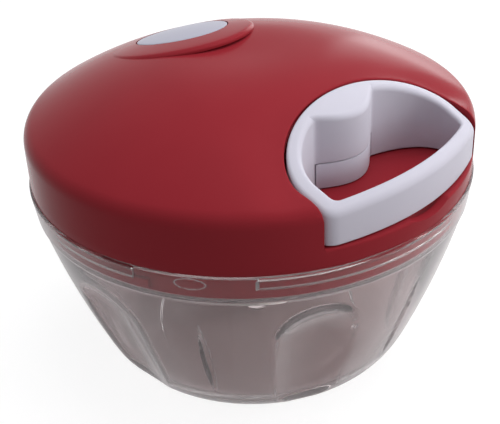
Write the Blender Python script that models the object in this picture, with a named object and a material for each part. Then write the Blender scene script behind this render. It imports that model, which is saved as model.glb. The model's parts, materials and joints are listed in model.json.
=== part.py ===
"""Mini food chopper worked by a pull cord: clear bowl, twist-on lid with its cord mechanism, blade unit and pull handle.

The origin is the middle of the bowl's foot, +Z is up, and the handle is pulled out along -Y.
"""

import math

import bmesh
import bpy
from mathutils import Matrix, Vector

MM = 0.001

# Fits and cuts shared by the pieces
GAP = 0.3 * MM
OVERRUN = 3.0 * MM
BITE = 0.6 * MM
MERGE = 0.001 * MM

# Counts of facets
ROUND_STEPS = 48
MIDDLE_STEPS = 32
SCOOP_STEPS = 24
SMALL_STEPS = 16
PIN_STEPS = 12
DOME_RINGS = 7
FLANK_STEPS = 5
FOOT_STEPS = 4

# Bowl
BOWL_HEIGHT = 55.0 * MM
RIM_RADIUS = 59.7 * MM
RIM_BAND_HEIGHT = 7.2 * MM
RIM_BAND_TAPER = 1.0 * MM
RIM_WALL = 1.7 * MM
RIM_EDGE_ROUND = 0.6 * MM
RIM_STEP = 0.4 * MM
BOWL_WALL = 2.0 * MM
FLANK_FOOT_RADIUS = 45.8 * MM
FLANK_FOOT_HEIGHT = 9.7 * MM
FLANK_BULGE = 0.8 * MM
FOOT_RADIUS = 36.5 * MM
FOOT_RING_WIDTH = 6.5 * MM
FOOT_RECESS = 1.0 * MM
FLOOR_THICKNESS = 2.4 * MM
PIN_BOSS_RADIUS = 5.0 * MM
PIN_BOSS_HEIGHT = 3.0 * MM

# Scoops pressed into the bowl's flank
SCOOP_COUNT = 6
SCOOP_FIRST_ANGLE = math.radians(-120)
SCOOP_TOP = 42.0 * MM
SCOOP_HALF_WIDTH = 12.0 * MM
SCOOP_DEPTH = 3.2 * MM

# Narrow flutes midway between the scoops
FLUTE_HALF_LENGTH = 17.5 * MM
FLUTE_DEPTH = 1.3 * MM
FLUTE_HEIGHT = 22.5 * MM

# Bayonet between bowl and lid
BAYONET_COUNT = 3
ENTRY_ANGLE = math.radians(-150)
ENTRY_HALF_ANGLE = math.radians(14.6)
TWIST_ANGLE = math.radians(18.3)
LEDGE_DEPTH = 1.6 * MM
LEDGE_TOP_DROP = 1.6 * MM
LEDGE_HEIGHT = 2.2 * MM
LUG_HALF_ANGLE = math.radians(7.0)
LUG_PROJECTION = 1.2 * MM
LUG_HEIGHT = 2.6 * MM
MARK_WIDTH = 7.4 * MM
MARK_HEIGHT = 3.1 * MM
MARK_DROP = 2.6 * MM
MARK_PROUD = 0.4 * MM

# Pin that the blade unit turns on
PIN_RADIUS = 2.0 * MM
PIN_TOP = 20.0 * MM

# Lid cover
LID_RADIUS = 59.2 * MM
LID_WALL = 2.0 * MM
LID_SHOULDER_HEIGHT = 12.0 * MM
SHOULDER_WIDTH = 2.4 * MM
DOME_EDGE_RADIUS = 58.2 * MM
DOME_RISE = 15.2 * MM
DOME_POWER_SHARE = 2.3

# Raised round pad with the inlaid badge, opposite the handle
PAD_DISTANCE = 28.3 * MM
PAD_ANGLE = math.radians(84)
PAD_RADIUS = 19.1 * MM
PAD_SLOPE = 1.6 * MM
PAD_RISE = 0.5 * MM
BADGE_RADIUS = 12.7 * MM
BADGE_THICKNESS = 1.6 * MM

# Handle outline, seen from above: an elliptical arch behind a bowed bar
ARCH_CENTRE = 44.7 * MM
ARCH_HALF_WIDTH = 29.4 * MM
ARCH_REACH = 16.9 * MM
ARCH_SIDE_WALL = 4.2 * MM
ARCH_BACK_WALL = 3.0 * MM
CORNER_INSET = 0.3 * MM
BAR_FRONT = 57.7 * MM
BAR_BOW = 6.1 * MM
BAR_WALL = 3.2 * MM
BAR_INNER_BOW = 4.6 * MM
CORNER_ROUND = 1.8 * MM
INNER_CORNER_ROUND = 1.0 * MM
HANDLE_DROP = 1.2 * MM
HANDLE_EDGE_ROUND = 1.5 * MM
HANDLE_FOOT_ROUND = 0.6 * MM

# Cord boss of the handle and the cap under it
BOSS_DEPTH = 6.4 * MM
BOSS_HALF_WIDTH = 10.5 * MM
CAP_HEIGHT = 7.0 * MM
KNOT_RADIUS = 2.2 * MM
KNOT_DISTANCE = 33.7 * MM

# Pocket for the handle
POCKET_FLOOR_HEIGHT = 5.3 * MM
POCKET_FLOOR_WALL = 2.8 * MM
POCKET_CLEARANCE = 0.8 * MM
POCKET_WALL = 1.6 * MM
NOTCH_WIDTH = 16.5 * MM
NOTCH_DEPTH = 1.8 * MM
NOTCH_REACH = 8.0 * MM

# Lid base: plate, skirt and the collar round the drive hub
BASE_PLATE_LIFT = 0.5 * MM
BASE_PLATE = 1.5 * MM
SKIRT_RADIUS = 55.6 * MM
SKIRT_DEPTH = 8.3 * MM
SKIRT_WALL = 1.6 * MM
COLLAR_WALL = 2.2 * MM
COLLAR_RISE = 2.8 * MM

# Screws that hold the base to the cover
POST_RADIUS = 3.5 * MM
POST_DISTANCE = 45.0 * MM
POST_ANGLES = [math.radians(angle) for angle in (35, 145, -22, -158)]
SCREW_RADIUS = 1.1 * MM
SCREW_LENGTH = 10.0 * MM
SCREW_HEAD_RADIUS = 2.6 * MM
SCREW_HEAD_HEIGHT = 1.3 * MM
SCREW_SLOT_WIDTH = 0.7 * MM
SCREW_SLOT_DEPTH = 0.6 * MM

# Cord
CORD_RADIUS = 1.0 * MM
CORD_HEIGHT = 14.8 * MM

# Spool
SPOOL_CORE_RADIUS = 15.5 * MM
SPOOL_FLANGE_RADIUS = 22.5 * MM
SPOOL_GROOVE = 6.4 * MM
SPOOL_FLANGE = 1.3 * MM
WINDING_DEPTH = 4.0 * MM
ARBOR_RADIUS = 6.0 * MM

# Axle with its screw and washer
AXLE_RADIUS = 2.5 * MM
AXLE_BOSS_RADIUS = 4.5 * MM
AXLE_SEAT = 1.0 * MM
AXLE_SCREW_DEPTH = 7.0 * MM
WASHER_RADIUS = 4.8 * MM
WASHER_THICKNESS = 0.7 * MM

# Housing and cover of the recoil spring
HOUSING_RADIUS = 24.4 * MM
HOUSING_WALL = 1.2 * MM
HOUSING_ROOF = 1.0 * MM
HOUSING_ROOM = 0.74 * MM
SPRING_COVER_PLATE = 0.9 * MM
EAR_DISTANCE = 27.4 * MM
EAR_RADIUS = 3.4 * MM
EAR_HEIGHT = 2.0 * MM
EAR_ANGLES = [math.radians(angle) for angle in (86, 206, 326)]

# Recoil spring
SPRING_HEIGHT = 3.6 * MM
SPRING_THICKNESS = 0.4 * MM
SPRING_TURNS = 5
SPRING_STEPS = 14

# Drive hub with its ratchet wheel and hexagonal socket
HUB_RADIUS = 9.0 * MM
HUB_REACH = 5.0 * MM
RATCHET_RADIUS = 11.5 * MM
RATCHET_TOOTH = 1.7 * MM
RATCHET_TEETH = 12
RATCHET_THICKNESS = 4.4 * MM
SOCKET_RADIUS = 6.2 * MM
SOCKET_DEPTH = 6.2 * MM

# Pawls
PAWL_COUNT = 2
PAWL_PIVOT_DISTANCE = 16.5 * MM
PAWL_PIVOT_ANGLE = math.radians(36)
PAWL_PIN_RADIUS = 1.4 * MM
PAWL_EYE_RADIUS = 2.7 * MM
PAWL_THICKNESS = 3.4 * MM
PAWL_BITE = 0.9 * MM
PAWL_TIP = 1.3 * MM

# Blade unit
SHAFT_RADIUS = 6.6 * MM
SHAFT_SHOULDER = 8.2 * MM
SHAFT_SHOULDER_HEIGHT = 34.0 * MM
SHAFT_NECK = 5.4 * MM
LOW_BLADE_HEIGHT = 10.0 * MM
MIDDLE_BLADE_HEIGHT = 20.5 * MM
HIGH_BLADE_HEIGHT = 31.0 * MM
BLADE_HEIGHTS = [LOW_BLADE_HEIGHT, MIDDLE_BLADE_HEIGHT, HIGH_BLADE_HEIGHT]
BLADE_ANGLES = [math.radians(angle) for angle in (-30, 90, 210)]
BLADE_REACH = 37.0 * MM
BLADE_ROOT = 4.0 * MM
BLADE_ROOT_WIDTH = 10.5 * MM
BLADE_TIP_WIDTH = 2.4 * MM
BLADE_SWEEP = 9.0 * MM
BLADE_THICKNESS = 1.0 * MM
BLADE_EDGE = 0.2 * MM
BLADE_GRIND = 3.0 * MM
BLADE_GRIND_SHARE = 0.45
BLADE_TAPER_SHARE = 1.6
MIDDLE_BLADE_LIFT = 3.0 * MM
HIGH_BLADE_LIFT = 4.5 * MM
BLADE_LIFTS = [0.0, MIDDLE_BLADE_LIFT, HIGH_BLADE_LIFT]
BLADE_STEPS = 10

# Heights worked out from the sizes above
LID_BOTTOM = BOWL_HEIGHT + GAP
POCKET_FLOOR = BOWL_HEIGHT + POCKET_FLOOR_HEIGHT
HANDLE_FOOT = POCKET_FLOOR + GAP
CAP_TOP = HANDLE_FOOT + CAP_HEIGHT
CORD_LEVEL = BOWL_HEIGHT + CORD_HEIGHT
PLATE_BOTTOM = BOWL_HEIGHT + BASE_PLATE_LIFT
PLATE_TOP = PLATE_BOTTOM + BASE_PLATE
COLLAR_TOP = PLATE_TOP + COLLAR_RISE
SPOOL_BOTTOM = CORD_LEVEL - SPOOL_GROOVE / 2 - SPOOL_FLANGE
SPOOL_TOP = CORD_LEVEL + SPOOL_GROOVE / 2 + SPOOL_FLANGE
SPRING_COVER_BOTTOM = SPOOL_TOP + GAP
SPRING_COVER_TOP = SPRING_COVER_BOTTOM + SPRING_COVER_PLATE
HOUSING_BOTTOM = SPRING_COVER_TOP + GAP
HOUSING_CEILING = HOUSING_BOTTOM + SPRING_HEIGHT + 2 * GAP
HOUSING_TOP = HOUSING_CEILING + HOUSING_ROOF
DOME_DROP_SHARE = (HOUSING_RADIUS / DOME_EDGE_RADIUS) ** DOME_POWER_SHARE
DOME_EDGE = HOUSING_TOP + HOUSING_ROOM + LID_WALL - DOME_RISE * (1 - DOME_DROP_SHARE)
HUB_BOTTOM = PLATE_BOTTOM - HUB_REACH
RATCHET_BOTTOM = COLLAR_TOP + GAP
RATCHET_TOP = RATCHET_BOTTOM + RATCHET_THICKNESS
WEB_BOTTOM = RATCHET_BOTTOM
AXLE_BOTTOM = WEB_BOTTOM - GAP
WASHER_TOP = AXLE_BOTTOM - GAP / 2
WASHER_BOTTOM = WASHER_TOP - WASHER_THICKNESS
FLOOR_TOP = FOOT_RECESS + FLOOR_THICKNESS
PIN_BOSS_TOP = FLOOR_TOP + PIN_BOSS_HEIGHT
SHAFT_BOTTOM = PIN_BOSS_TOP + GAP
SHAFT_TOP = HUB_BOTTOM + SOCKET_DEPTH - GAP
RIM_LOW_RADIUS = RIM_RADIUS - RIM_BAND_TAPER
RIM_LOW = BOWL_HEIGHT - RIM_BAND_HEIGHT
FLANK_TOP = RIM_LOW - RIM_STEP
SKIRT_LOW = BOWL_HEIGHT - SKIRT_DEPTH
FLANK_TOP_RADIUS = RIM_LOW_RADIUS - RIM_STEP


def clear_scene():
    for item in list(bpy.data.objects):
        bpy.data.objects.remove(item, do_unlink=True)


def make_material(name, colour, roughness, metallic=0.0, transmission=0.0):
    material = bpy.data.materials.new(name)
    material.use_nodes = True
    shader = material.node_tree.nodes["Principled BSDF"]
    shader.inputs["Base Color"].default_value = (*colour, 1.0)
    shader.inputs["Roughness"].default_value = roughness
    shader.inputs["Metallic"].default_value = metallic
    shader.inputs["Transmission Weight"].default_value = transmission
    return material


def add_empty(name, location, parent=None):
    empty = bpy.data.objects.new(name, None)
    bpy.context.scene.collection.objects.link(empty)
    empty.location = location
    empty.parent = parent
    return empty


def world_place(item):
    place = Vector((0, 0, 0))
    while item:
        place += item.location
        item = item.parent
    return place


def finish_mesh(name, shape, merge=True):
    """Turns a bmesh into a clean mesh with its faces pointing out."""
    if merge:
        bmesh.ops.remove_doubles(shape, verts=shape.verts, dist=MERGE)
    bmesh.ops.recalc_face_normals(shape, faces=shape.faces)
    mesh = bpy.data.meshes.new(name)
    shape.to_mesh(mesh)
    shape.free()
    mesh.shade_smooth()
    mesh.set_sharp_from_angle(angle=math.radians(35))
    return mesh


def add_piece(name, mesh, material, parent):
    """Adds a piece whose mesh was drawn in the object's frame, under the empty that it moves with."""
    mesh.transform(Matrix.Translation(-world_place(parent)))
    mesh.materials.append(material)
    piece = bpy.data.objects.new(name, mesh)
    bpy.context.scene.collection.objects.link(piece)
    piece.parent = parent
    return piece


def add_guide(name, mesh):
    """Adds a helper solid for a Boolean, which is never part of the model."""
    guide = bpy.data.objects.new(name, mesh)
    bpy.context.scene.collection.objects.link(guide)
    guide.hide_render = True
    guide.display_type = "WIRE"
    return guide


def combine(target, other, operation):
    modifier = target.modifiers.new(f"{operation.lower()} {other.name}", "BOOLEAN")
    modifier.operation = operation
    modifier.solver = "EXACT"
    modifier.object = other


def cut(target, *others):
    for other in others:
        combine(target, other, "DIFFERENCE")


def unite(target, *others):
    for other in others:
        combine(target, other, "UNION")


def trim_to(target, other):
    combine(target, other, "INTERSECT")


def polar(radius, angle, height=0.0):
    return Vector((radius * math.cos(angle), radius * math.sin(angle), height))


def bend(start, control, end, steps):
    """Points of a smooth bend from start to end that heads for control, both ends included."""
    points = []
    for step in range(steps + 1):
        t = step / steps
        points.append(tuple((1 - t) ** 2 * a + 2 * t * (1 - t) * b + t * t * c for a, b, c in zip(start, control, end)))
    return points


def lathe(name, outline, steps=ROUND_STEPS, angle=math.tau, start=0.0):
    """Turns an outline of (radius, height) points about Z. An outline that leaves the axis is closed into a ring."""
    shape = bmesh.new()
    turn = Matrix.Rotation(start, 3, "Z")
    corners = [shape.verts.new(turn @ Vector((radius, 0, height))) for radius, height in outline]
    edges = [shape.edges.new(pair) for pair in zip(corners, corners[1:])]
    if outline[0][0] > 0 and outline[-1][0] > 0:
        edges.append(shape.edges.new((corners[-1], corners[0])))
    whole = angle == math.tau
    if not whole:
        first = bmesh.ops.contextual_create(shape, geom=edges)["faces"]
        bmesh.ops.spin(shape, geom=first, cent=(0, 0, 0), axis=(0, 0, 1), angle=angle, steps=steps, use_duplicate=False)
        return finish_mesh(name, shape)
    bmesh.ops.spin(
        shape, geom=corners + edges, cent=(0, 0, 0), axis=(0, 0, 1), angle=angle, steps=steps, use_merge=True
    )
    return finish_mesh(name, shape)


def disc_outline(radius, low, high, bore=0.0):
    """Outline of a plain round piece, hollow when it has a bore."""
    if bore:
        return [(bore, high), (radius, high), (radius, low), (bore, low)]
    return [(0.0, high), (radius, high), (radius, low), (0.0, low)]


def cylinder(name, radius, low, high, centre=(0.0, 0.0), bore=0.0, steps=SMALL_STEPS):
    mesh = lathe(name, disc_outline(radius, low, high, bore), steps)
    mesh.transform(Matrix.Translation((centre[0], centre[1], 0)))
    return mesh


def prism(name, outline, low, high):
    """Raises a flat outline of (x, y) points from one height to another."""
    shape = bmesh.new()
    face = shape.faces.new([shape.verts.new((x, y, low)) for x, y in outline])
    raised = bmesh.ops.extrude_face_region(shape, geom=[face])["geom"]
    tops = [item for item in raised if isinstance(item, bmesh.types.BMVert)]
    bmesh.ops.translate(shape, verts=tops, vec=(0, 0, high - low))
    return finish_mesh(name, shape)


def rod(name, radius, start, end, steps=PIN_STEPS):
    """A round bar between two points."""
    start, end = Vector(start), Vector(end)
    length = (end - start).length
    mesh = lathe(name, disc_outline(radius, 0.0, length), steps)
    turn = (end - start).to_track_quat("Z", "Y").to_matrix().to_4x4()
    mesh.transform(Matrix.Translation(start) @ turn)
    return mesh


def loft(name, sections):
    """Joins closed sections, each with as many points as the next, into a closed loop."""
    shape = bmesh.new()
    rings = [[shape.verts.new(point) for point in section] for section in sections]
    for ring, following in zip(rings, rings[1:] + rings[:1]):
        for index, vertex in enumerate(ring):
            before = index - 1
            shape.faces.new((ring[before], vertex, following[index], following[before]))
    return finish_mesh(name, shape)


def loft_open(name, sections):
    """Joins closed sections in a row into a solid whose first and last sections are faces."""
    shape = bmesh.new()
    rings = [[shape.verts.new(point) for point in section] for section in sections]
    for ring, following in zip(rings, rings[1:]):
        for index, vertex in enumerate(ring):
            before = index - 1
            shape.faces.new((ring[before], vertex, following[index], following[before]))
    shape.faces.new(rings[0])
    shape.faces.new(rings[-1])
    return finish_mesh(name, shape)


# Shared curves


def dome_height(radius, drop=0.0):
    share = min(radius / DOME_EDGE_RADIUS, 1.0)
    return DOME_EDGE + DOME_RISE * (1 - share**DOME_POWER_SHARE) - drop


def dome_outline(shift, wall_radius, bottom, rings=DOME_RINGS):
    """Outline of the lid as a solid: the dome moved up by shift, its rounded shoulder and the wall down to bottom."""
    shoulder_inner = wall_radius - SHOULDER_WIDTH
    points = [(0.0, dome_height(0.0) + shift)]
    for ring in range(1, rings + 1):
        radius = shoulder_inner * (ring / rings) ** 0.8
        points.append((radius, dome_height(radius) + shift))
    high = points[-1]
    low = (wall_radius, BOWL_HEIGHT + LID_SHOULDER_HEIGHT + shift)
    slope = DOME_RISE * DOME_POWER_SHARE / DOME_EDGE_RADIUS
    control = (wall_radius, high[1] - slope * SHOULDER_WIDTH)
    points += bend(high, control, low, 4)[1:]
    points.append((wall_radius, bottom))
    points.append((0.0, bottom))
    return points


def bowl_radius(height):
    """Outer radius of the bowl's flank, without its scoops."""
    share = (height - FLANK_FOOT_HEIGHT) / (FLANK_TOP - FLANK_FOOT_HEIGHT)
    straight = FLANK_FOOT_RADIUS + (FLANK_TOP_RADIUS - FLANK_FOOT_RADIUS) * share
    return straight + FLANK_BULGE * 4 * share * (1 - share)


def arch_point(angle, side_grow, back_grow):
    """A point of the handle's arch, grown outwards at its sides and its back, in plan."""
    return (
        (ARCH_HALF_WIDTH + side_grow) * math.cos(angle),
        -ARCH_CENTRE + (ARCH_REACH + back_grow) * math.sin(angle),
    )


def arch_inner_y(x):
    """Where the inner face of the arch lies at a distance x from the handle's middle line."""
    share = x / (ARCH_HALF_WIDTH - ARCH_SIDE_WALL)
    return -ARCH_CENTRE + (ARCH_REACH - ARCH_BACK_WALL) * math.sqrt(1 - share * share)


def boss_reach(x):
    """How far the cord boss stands in from the arch at a distance x from the middle line."""
    share = min(abs(x) / BOSS_HALF_WIDTH, 1.0)
    return BOSS_DEPTH * (1 - share * share) ** 1.5


def loop_outline(side_grow, back_grow, corner_x, bar_y, bow, corner_round, with_boss):
    """Plan of one side of the handle's loop: arch from right to left, corner, bowed bar, corner."""
    points = []
    arch_steps = 32
    for step in range(arch_steps + 1):
        x, y = arch_point(math.pi * step / arch_steps, side_grow, back_grow)
        points.append((x, y - boss_reach(x) if with_boss else y))
    corner_y = -bar_y + bow
    front = []
    front_steps = 10
    limit = corner_x - 1.5 * corner_round
    for step in range(front_steps + 1):
        x = -limit + 2 * limit * step / front_steps
        front.append((x, -bar_y + bow * (x / corner_x) ** 2))
    side_start = points[-1]
    side = Vector((-corner_x, corner_y)) - Vector(side_start)
    before = Vector(side_start) + side * max(0.0, 1 - 1.5 * corner_round / side.length)
    left = bend(tuple(before), (-corner_x, corner_y), front[0], 4)
    right = [(-x, y) for x, y in reversed(left)]
    return points + left[:-1] + front + right[1:]


def handle_sections():
    """Cross-sections of the handle's loop, all round, with a rounded top that follows the lid's dome."""
    outer = loop_outline(
        0.0, 0.0, ARCH_HALF_WIDTH - CORNER_INSET, BAR_FRONT, BAR_BOW, CORNER_ROUND, False
    )
    inner = loop_outline(
        -ARCH_SIDE_WALL,
        -ARCH_BACK_WALL,
        ARCH_HALF_WIDTH - ARCH_SIDE_WALL - CORNER_INSET,
        BAR_FRONT - BAR_WALL,
        BAR_INNER_BOW,
        INNER_CORNER_ROUND,
        True,
    )
    sections = []
    for outside, inside in zip(outer, inner):
        across = Vector(inside) - Vector(outside)
        width = across.length
        across.normalize()
        top_round = min(HANDLE_EDGE_ROUND, width / 2 - MERGE * 10)
        places = [(HANDLE_FOOT_ROUND, 0.0, True), (0.0, HANDLE_FOOT_ROUND, True)]
        turn_steps = 3
        for step in range(turn_steps + 1):
            turn = math.pi / 2 * step / turn_steps
            places.append((top_round * (1 - math.cos(turn)), top_round * (1 - math.sin(turn)), False))
        for step in range(turn_steps + 1):
            turn = math.pi / 2 * (1 - step / turn_steps)
            places.append((width - top_round * (1 - math.cos(turn)), top_round * (1 - math.sin(turn)), False))
        places += [(width, HANDLE_FOOT_ROUND, True), (width - HANDLE_FOOT_ROUND, 0.0, True)]
        section = []
        for distance, drop, at_foot in places:
            spot = Vector(outside) + across * distance
            top = dome_height(spot.length) - HANDLE_DROP
            section.append((spot.x, spot.y, HANDLE_FOOT + drop if at_foot else top - drop))
        sections.append(section)
    return sections


# Bowl


def bowl_outline():
    """Outer face of the bowl from the axis at the rim plane down to the foot and back to the axis."""
    points = [(0.0, BOWL_HEIGHT), (RIM_RADIUS - RIM_EDGE_ROUND, BOWL_HEIGHT)]
    points += [(RIM_RADIUS, BOWL_HEIGHT - RIM_EDGE_ROUND), (RIM_LOW_RADIUS, RIM_LOW)]
    points.append((FLANK_TOP_RADIUS, FLANK_TOP))
    for step in range(1, FLANK_STEPS + 1):
        height = FLANK_TOP + (FLANK_FOOT_HEIGHT - FLANK_TOP) * step / FLANK_STEPS
        points.append((bowl_radius(height), height))
    slope = (points[-2][0] - points[-1][0]) / (points[-2][1] - points[-1][1])
    control = (FLANK_FOOT_RADIUS - slope * FLANK_FOOT_HEIGHT, 0.0)
    points += bend((FLANK_FOOT_RADIUS, FLANK_FOOT_HEIGHT), control, (FOOT_RADIUS, 0.0), FOOT_STEPS)[1:]
    ring_inner = FOOT_RADIUS - FOOT_RING_WIDTH
    points += [(ring_inner, 0.0), (ring_inner - FOOT_RECESS, FOOT_RECESS), (0.0, FOOT_RECESS)]
    return points


def cavity_outline():
    """Inner face of the bowl, as the solid that it encloses."""
    points = [(0.0, BOWL_HEIGHT + OVERRUN), (RIM_RADIUS - RIM_WALL, BOWL_HEIGHT + OVERRUN)]
    points += [(RIM_RADIUS - RIM_WALL, BOWL_HEIGHT - RIM_EDGE_ROUND), (RIM_LOW_RADIUS - RIM_WALL, FLANK_TOP)]
    low = FLANK_FOOT_HEIGHT
    for step in range(1, FLANK_STEPS + 1):
        height = FLANK_TOP + (low - FLANK_TOP) * step / FLANK_STEPS
        points.append((bowl_radius(height) - BOWL_WALL, height))
    slope = (points[-2][0] - points[-1][0]) / (points[-2][1] - points[-1][1])
    end_radius = FOOT_RADIUS - BOWL_WALL
    control = (points[-1][0] - slope * (low - FLOOR_TOP), FLOOR_TOP)
    points += bend(points[-1], control, (end_radius, FLOOR_TOP), FOOT_STEPS)[1:]
    points += [(PIN_BOSS_RADIUS, FLOOR_TOP), (PIN_BOSS_RADIUS, PIN_BOSS_TOP), (0.0, PIN_BOSS_TOP)]
    return points


def flank_lean():
    """How far the flank leans out from upright."""
    return math.atan((FLANK_TOP_RADIUS - FLANK_FOOT_RADIUS) / (FLANK_TOP - FLANK_FOOT_HEIGHT))


def flute_cutter(name, angle):
    """A slim spindle laid on the flank, which leaves a groove shaped like a narrow leaf."""
    rows = 6
    sides = 8
    outline = []
    for step in range(rows + 1):
        share = 2 * step / rows - 1
        outline.append((FLUTE_DEPTH * (1 - share * share), -FLUTE_HALF_LENGTH * share))
    mesh = lathe(name, outline, sides)
    mesh.transform(Matrix.Rotation(flank_lean(), 4, "Y"))
    mesh.transform(Matrix.Translation((bowl_radius(FLUTE_HEIGHT), 0, FLUTE_HEIGHT)))
    mesh.transform(Matrix.Rotation(angle, 4, "Z"))
    return add_guide(name, mesh)


def scoop_cutter(name, angle, grow):
    """A round-ended bar laid along the flank, whose side presses one scoop to its depth."""
    radius = (SCOOP_HALF_WIDTH**2 + SCOOP_DEPTH**2) / (2 * SCOOP_DEPTH)
    lean = flank_lean()
    middle = SCOOP_TOP - SCOOP_HALF_WIDTH * math.cos(lean)
    outward = radius - SCOOP_DEPTH
    reach = bowl_radius(middle) + outward * math.cos(lean)
    centre_height = middle - outward * math.sin(lean)
    end_turns = 5
    size = radius + grow
    outline = []
    for step in range(end_turns + 1):
        turn = math.pi / 2 * (1 - step / end_turns)
        outline.append((size * math.cos(turn), size * math.sin(turn)))
    outline[0] = (0.0, size)
    outline += [(size, -BOWL_HEIGHT), (0.0, -BOWL_HEIGHT)]
    mesh = lathe(name, outline, SCOOP_STEPS)
    mesh.transform(Matrix.Rotation(lean, 4, "Y"))
    mesh.transform(Matrix.Translation((reach, 0, centre_height)))
    mesh.transform(Matrix.Rotation(angle, 4, "Z"))
    return add_guide(name, mesh)


def ring_sectors(name, outline, centres, half_angle, steps):
    """Like pieces of a turned ring, centred on the given angles, as one helper of separate bodies."""
    shape = bmesh.new()
    for centre in centres:
        part = lathe(name, outline, steps, 2 * half_angle, centre - half_angle)
        shape.from_mesh(part)
        bpy.data.meshes.remove(part)
    return add_guide(name, finish_mesh(name, shape))


def make_bowl(material, parent):
    bowl = add_piece("bowl", lathe("bowl", bowl_outline()), material, parent)
    cavity = add_guide("bowl cavity", lathe("bowl cavity", cavity_outline()))
    for index in range(SCOOP_COUNT):
        angle = SCOOP_FIRST_ANGLE + math.tau * index / SCOOP_COUNT
        cut(bowl, scoop_cutter(f"scoop {index + 1}", angle, 0.0))
        cut(cavity, scoop_cutter(f"scoop back {index + 1}", angle, BOWL_WALL))
        cut(bowl, flute_cutter(f"flute {index + 1}", angle + math.pi / SCOOP_COUNT))
    cut(bowl, cavity)
    pitch = math.tau / BAYONET_COUNT
    middles = [ENTRY_ANGLE + pitch * (index + 0.5) for index in range(BAYONET_COUNT)]
    top = BOWL_HEIGHT - LEDGE_TOP_DROP
    inner = RIM_RADIUS - RIM_WALL - LEDGE_DEPTH
    outer = RIM_RADIUS - RIM_WALL + BITE
    ledge = [(inner, top), (outer, top), (outer, top - LEDGE_HEIGHT), (inner, top - LEDGE_HEIGHT)]
    unite(bowl, ring_sectors("bayonet ledges", ledge, middles, pitch / 2 - ENTRY_HALF_ANGLE, 12))
    for index in range(BAYONET_COUNT):
        unite(bowl, entry_mark(f"entry mark {index + 1}", ENTRY_ANGLE + pitch * index))
    pin_hole = cylinder("pin hole", PIN_RADIUS + GAP, FLOOR_TOP, PIN_BOSS_TOP + OVERRUN, steps=PIN_STEPS)
    cut(bowl, add_guide("pin hole", pin_hole))


def entry_mark(name, angle):
    """A low oval on the rim that shows where the lid's lugs enter."""
    height = BOWL_HEIGHT - MARK_DROP
    mesh = cylinder(name, 1.0, 0.0, 1.0, steps=SMALL_STEPS)
    mesh.transform(Matrix.Diagonal((MARK_HEIGHT / 2, MARK_WIDTH / 2, BITE + MARK_PROUD, 1)))
    mesh.transform(Matrix.Rotation(math.pi / 2, 4, "Y"))
    face = RIM_RADIUS - RIM_BAND_TAPER * MARK_DROP / RIM_BAND_HEIGHT - MARK_WIDTH**2 / 8 / RIM_RADIUS
    mesh.transform(Matrix.Translation((face - BITE + MARK_WIDTH**2 / 8 / RIM_RADIUS, 0, height)))
    mesh.transform(Matrix.Rotation(angle, 4, "Z"))
    return add_guide(name, mesh)


def make_bowl_pin(material, parent):
    tip = PIN_RADIUS / 2
    outline = [(0.0, PIN_TOP), (tip, PIN_TOP), (PIN_RADIUS, PIN_TOP - tip), (PIN_RADIUS, FLOOR_TOP + GAP)]
    outline.append((0.0, FLOOR_TOP + GAP))
    add_piece("bowl_pin", lathe("bowl_pin", outline, PIN_STEPS), material, parent)


# Lid cover


def pocket_plan(grow, front):
    """Plan of the handle's pocket: the arch grown on all sides, then straight out to the front."""
    points = []
    steps = 32
    for step in range(steps + 1):
        points.append(arch_point(math.pi * step / steps, grow, grow))
    side = ARCH_HALF_WIDTH + grow
    points += [(-side, -front), (side, -front)]
    return points


def cover_posts():
    """Posts that stay standing in the cover's hollow: for the base's screws, the housing's screws and the axle."""
    high = dome_height(0.0)
    posts = []
    for index, angle in enumerate(POST_ANGLES):
        centre = polar(POST_DISTANCE, angle)
        mesh = cylinder("post", POST_RADIUS, PLATE_TOP + GAP, high, centre, steps=PIN_STEPS)
        posts.append(add_guide(f"base post {index + 1}", mesh))
    room_mesh = cylinder("housing room", HOUSING_RADIUS + 2 * GAP, HOUSING_BOTTOM, HOUSING_TOP + GAP, steps=MIDDLE_STEPS)
    room = add_guide("housing room", room_mesh)
    for index, angle in enumerate(EAR_ANGLES):
        centre = polar(EAR_DISTANCE, angle)
        mesh = cylinder("post", EAR_RADIUS, HOUSING_BOTTOM + EAR_HEIGHT + GAP, high, centre, steps=PIN_STEPS)
        post = add_guide(f"housing post {index + 1}", mesh)
        cut(post, room)
        posts.append(post)
    boss = cylinder("boss", AXLE_BOSS_RADIUS, HOUSING_TOP + GAP, high, steps=PIN_STEPS)
    posts.append(add_guide("axle boss", boss))
    return posts


def screw_hole(name, centre, bottom):
    mesh = cylinder(name, SCREW_RADIUS + GAP, bottom - OVERRUN, bottom + SCREW_LENGTH + GAP, centre, steps=PIN_STEPS)
    return add_guide(name, mesh)


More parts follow.
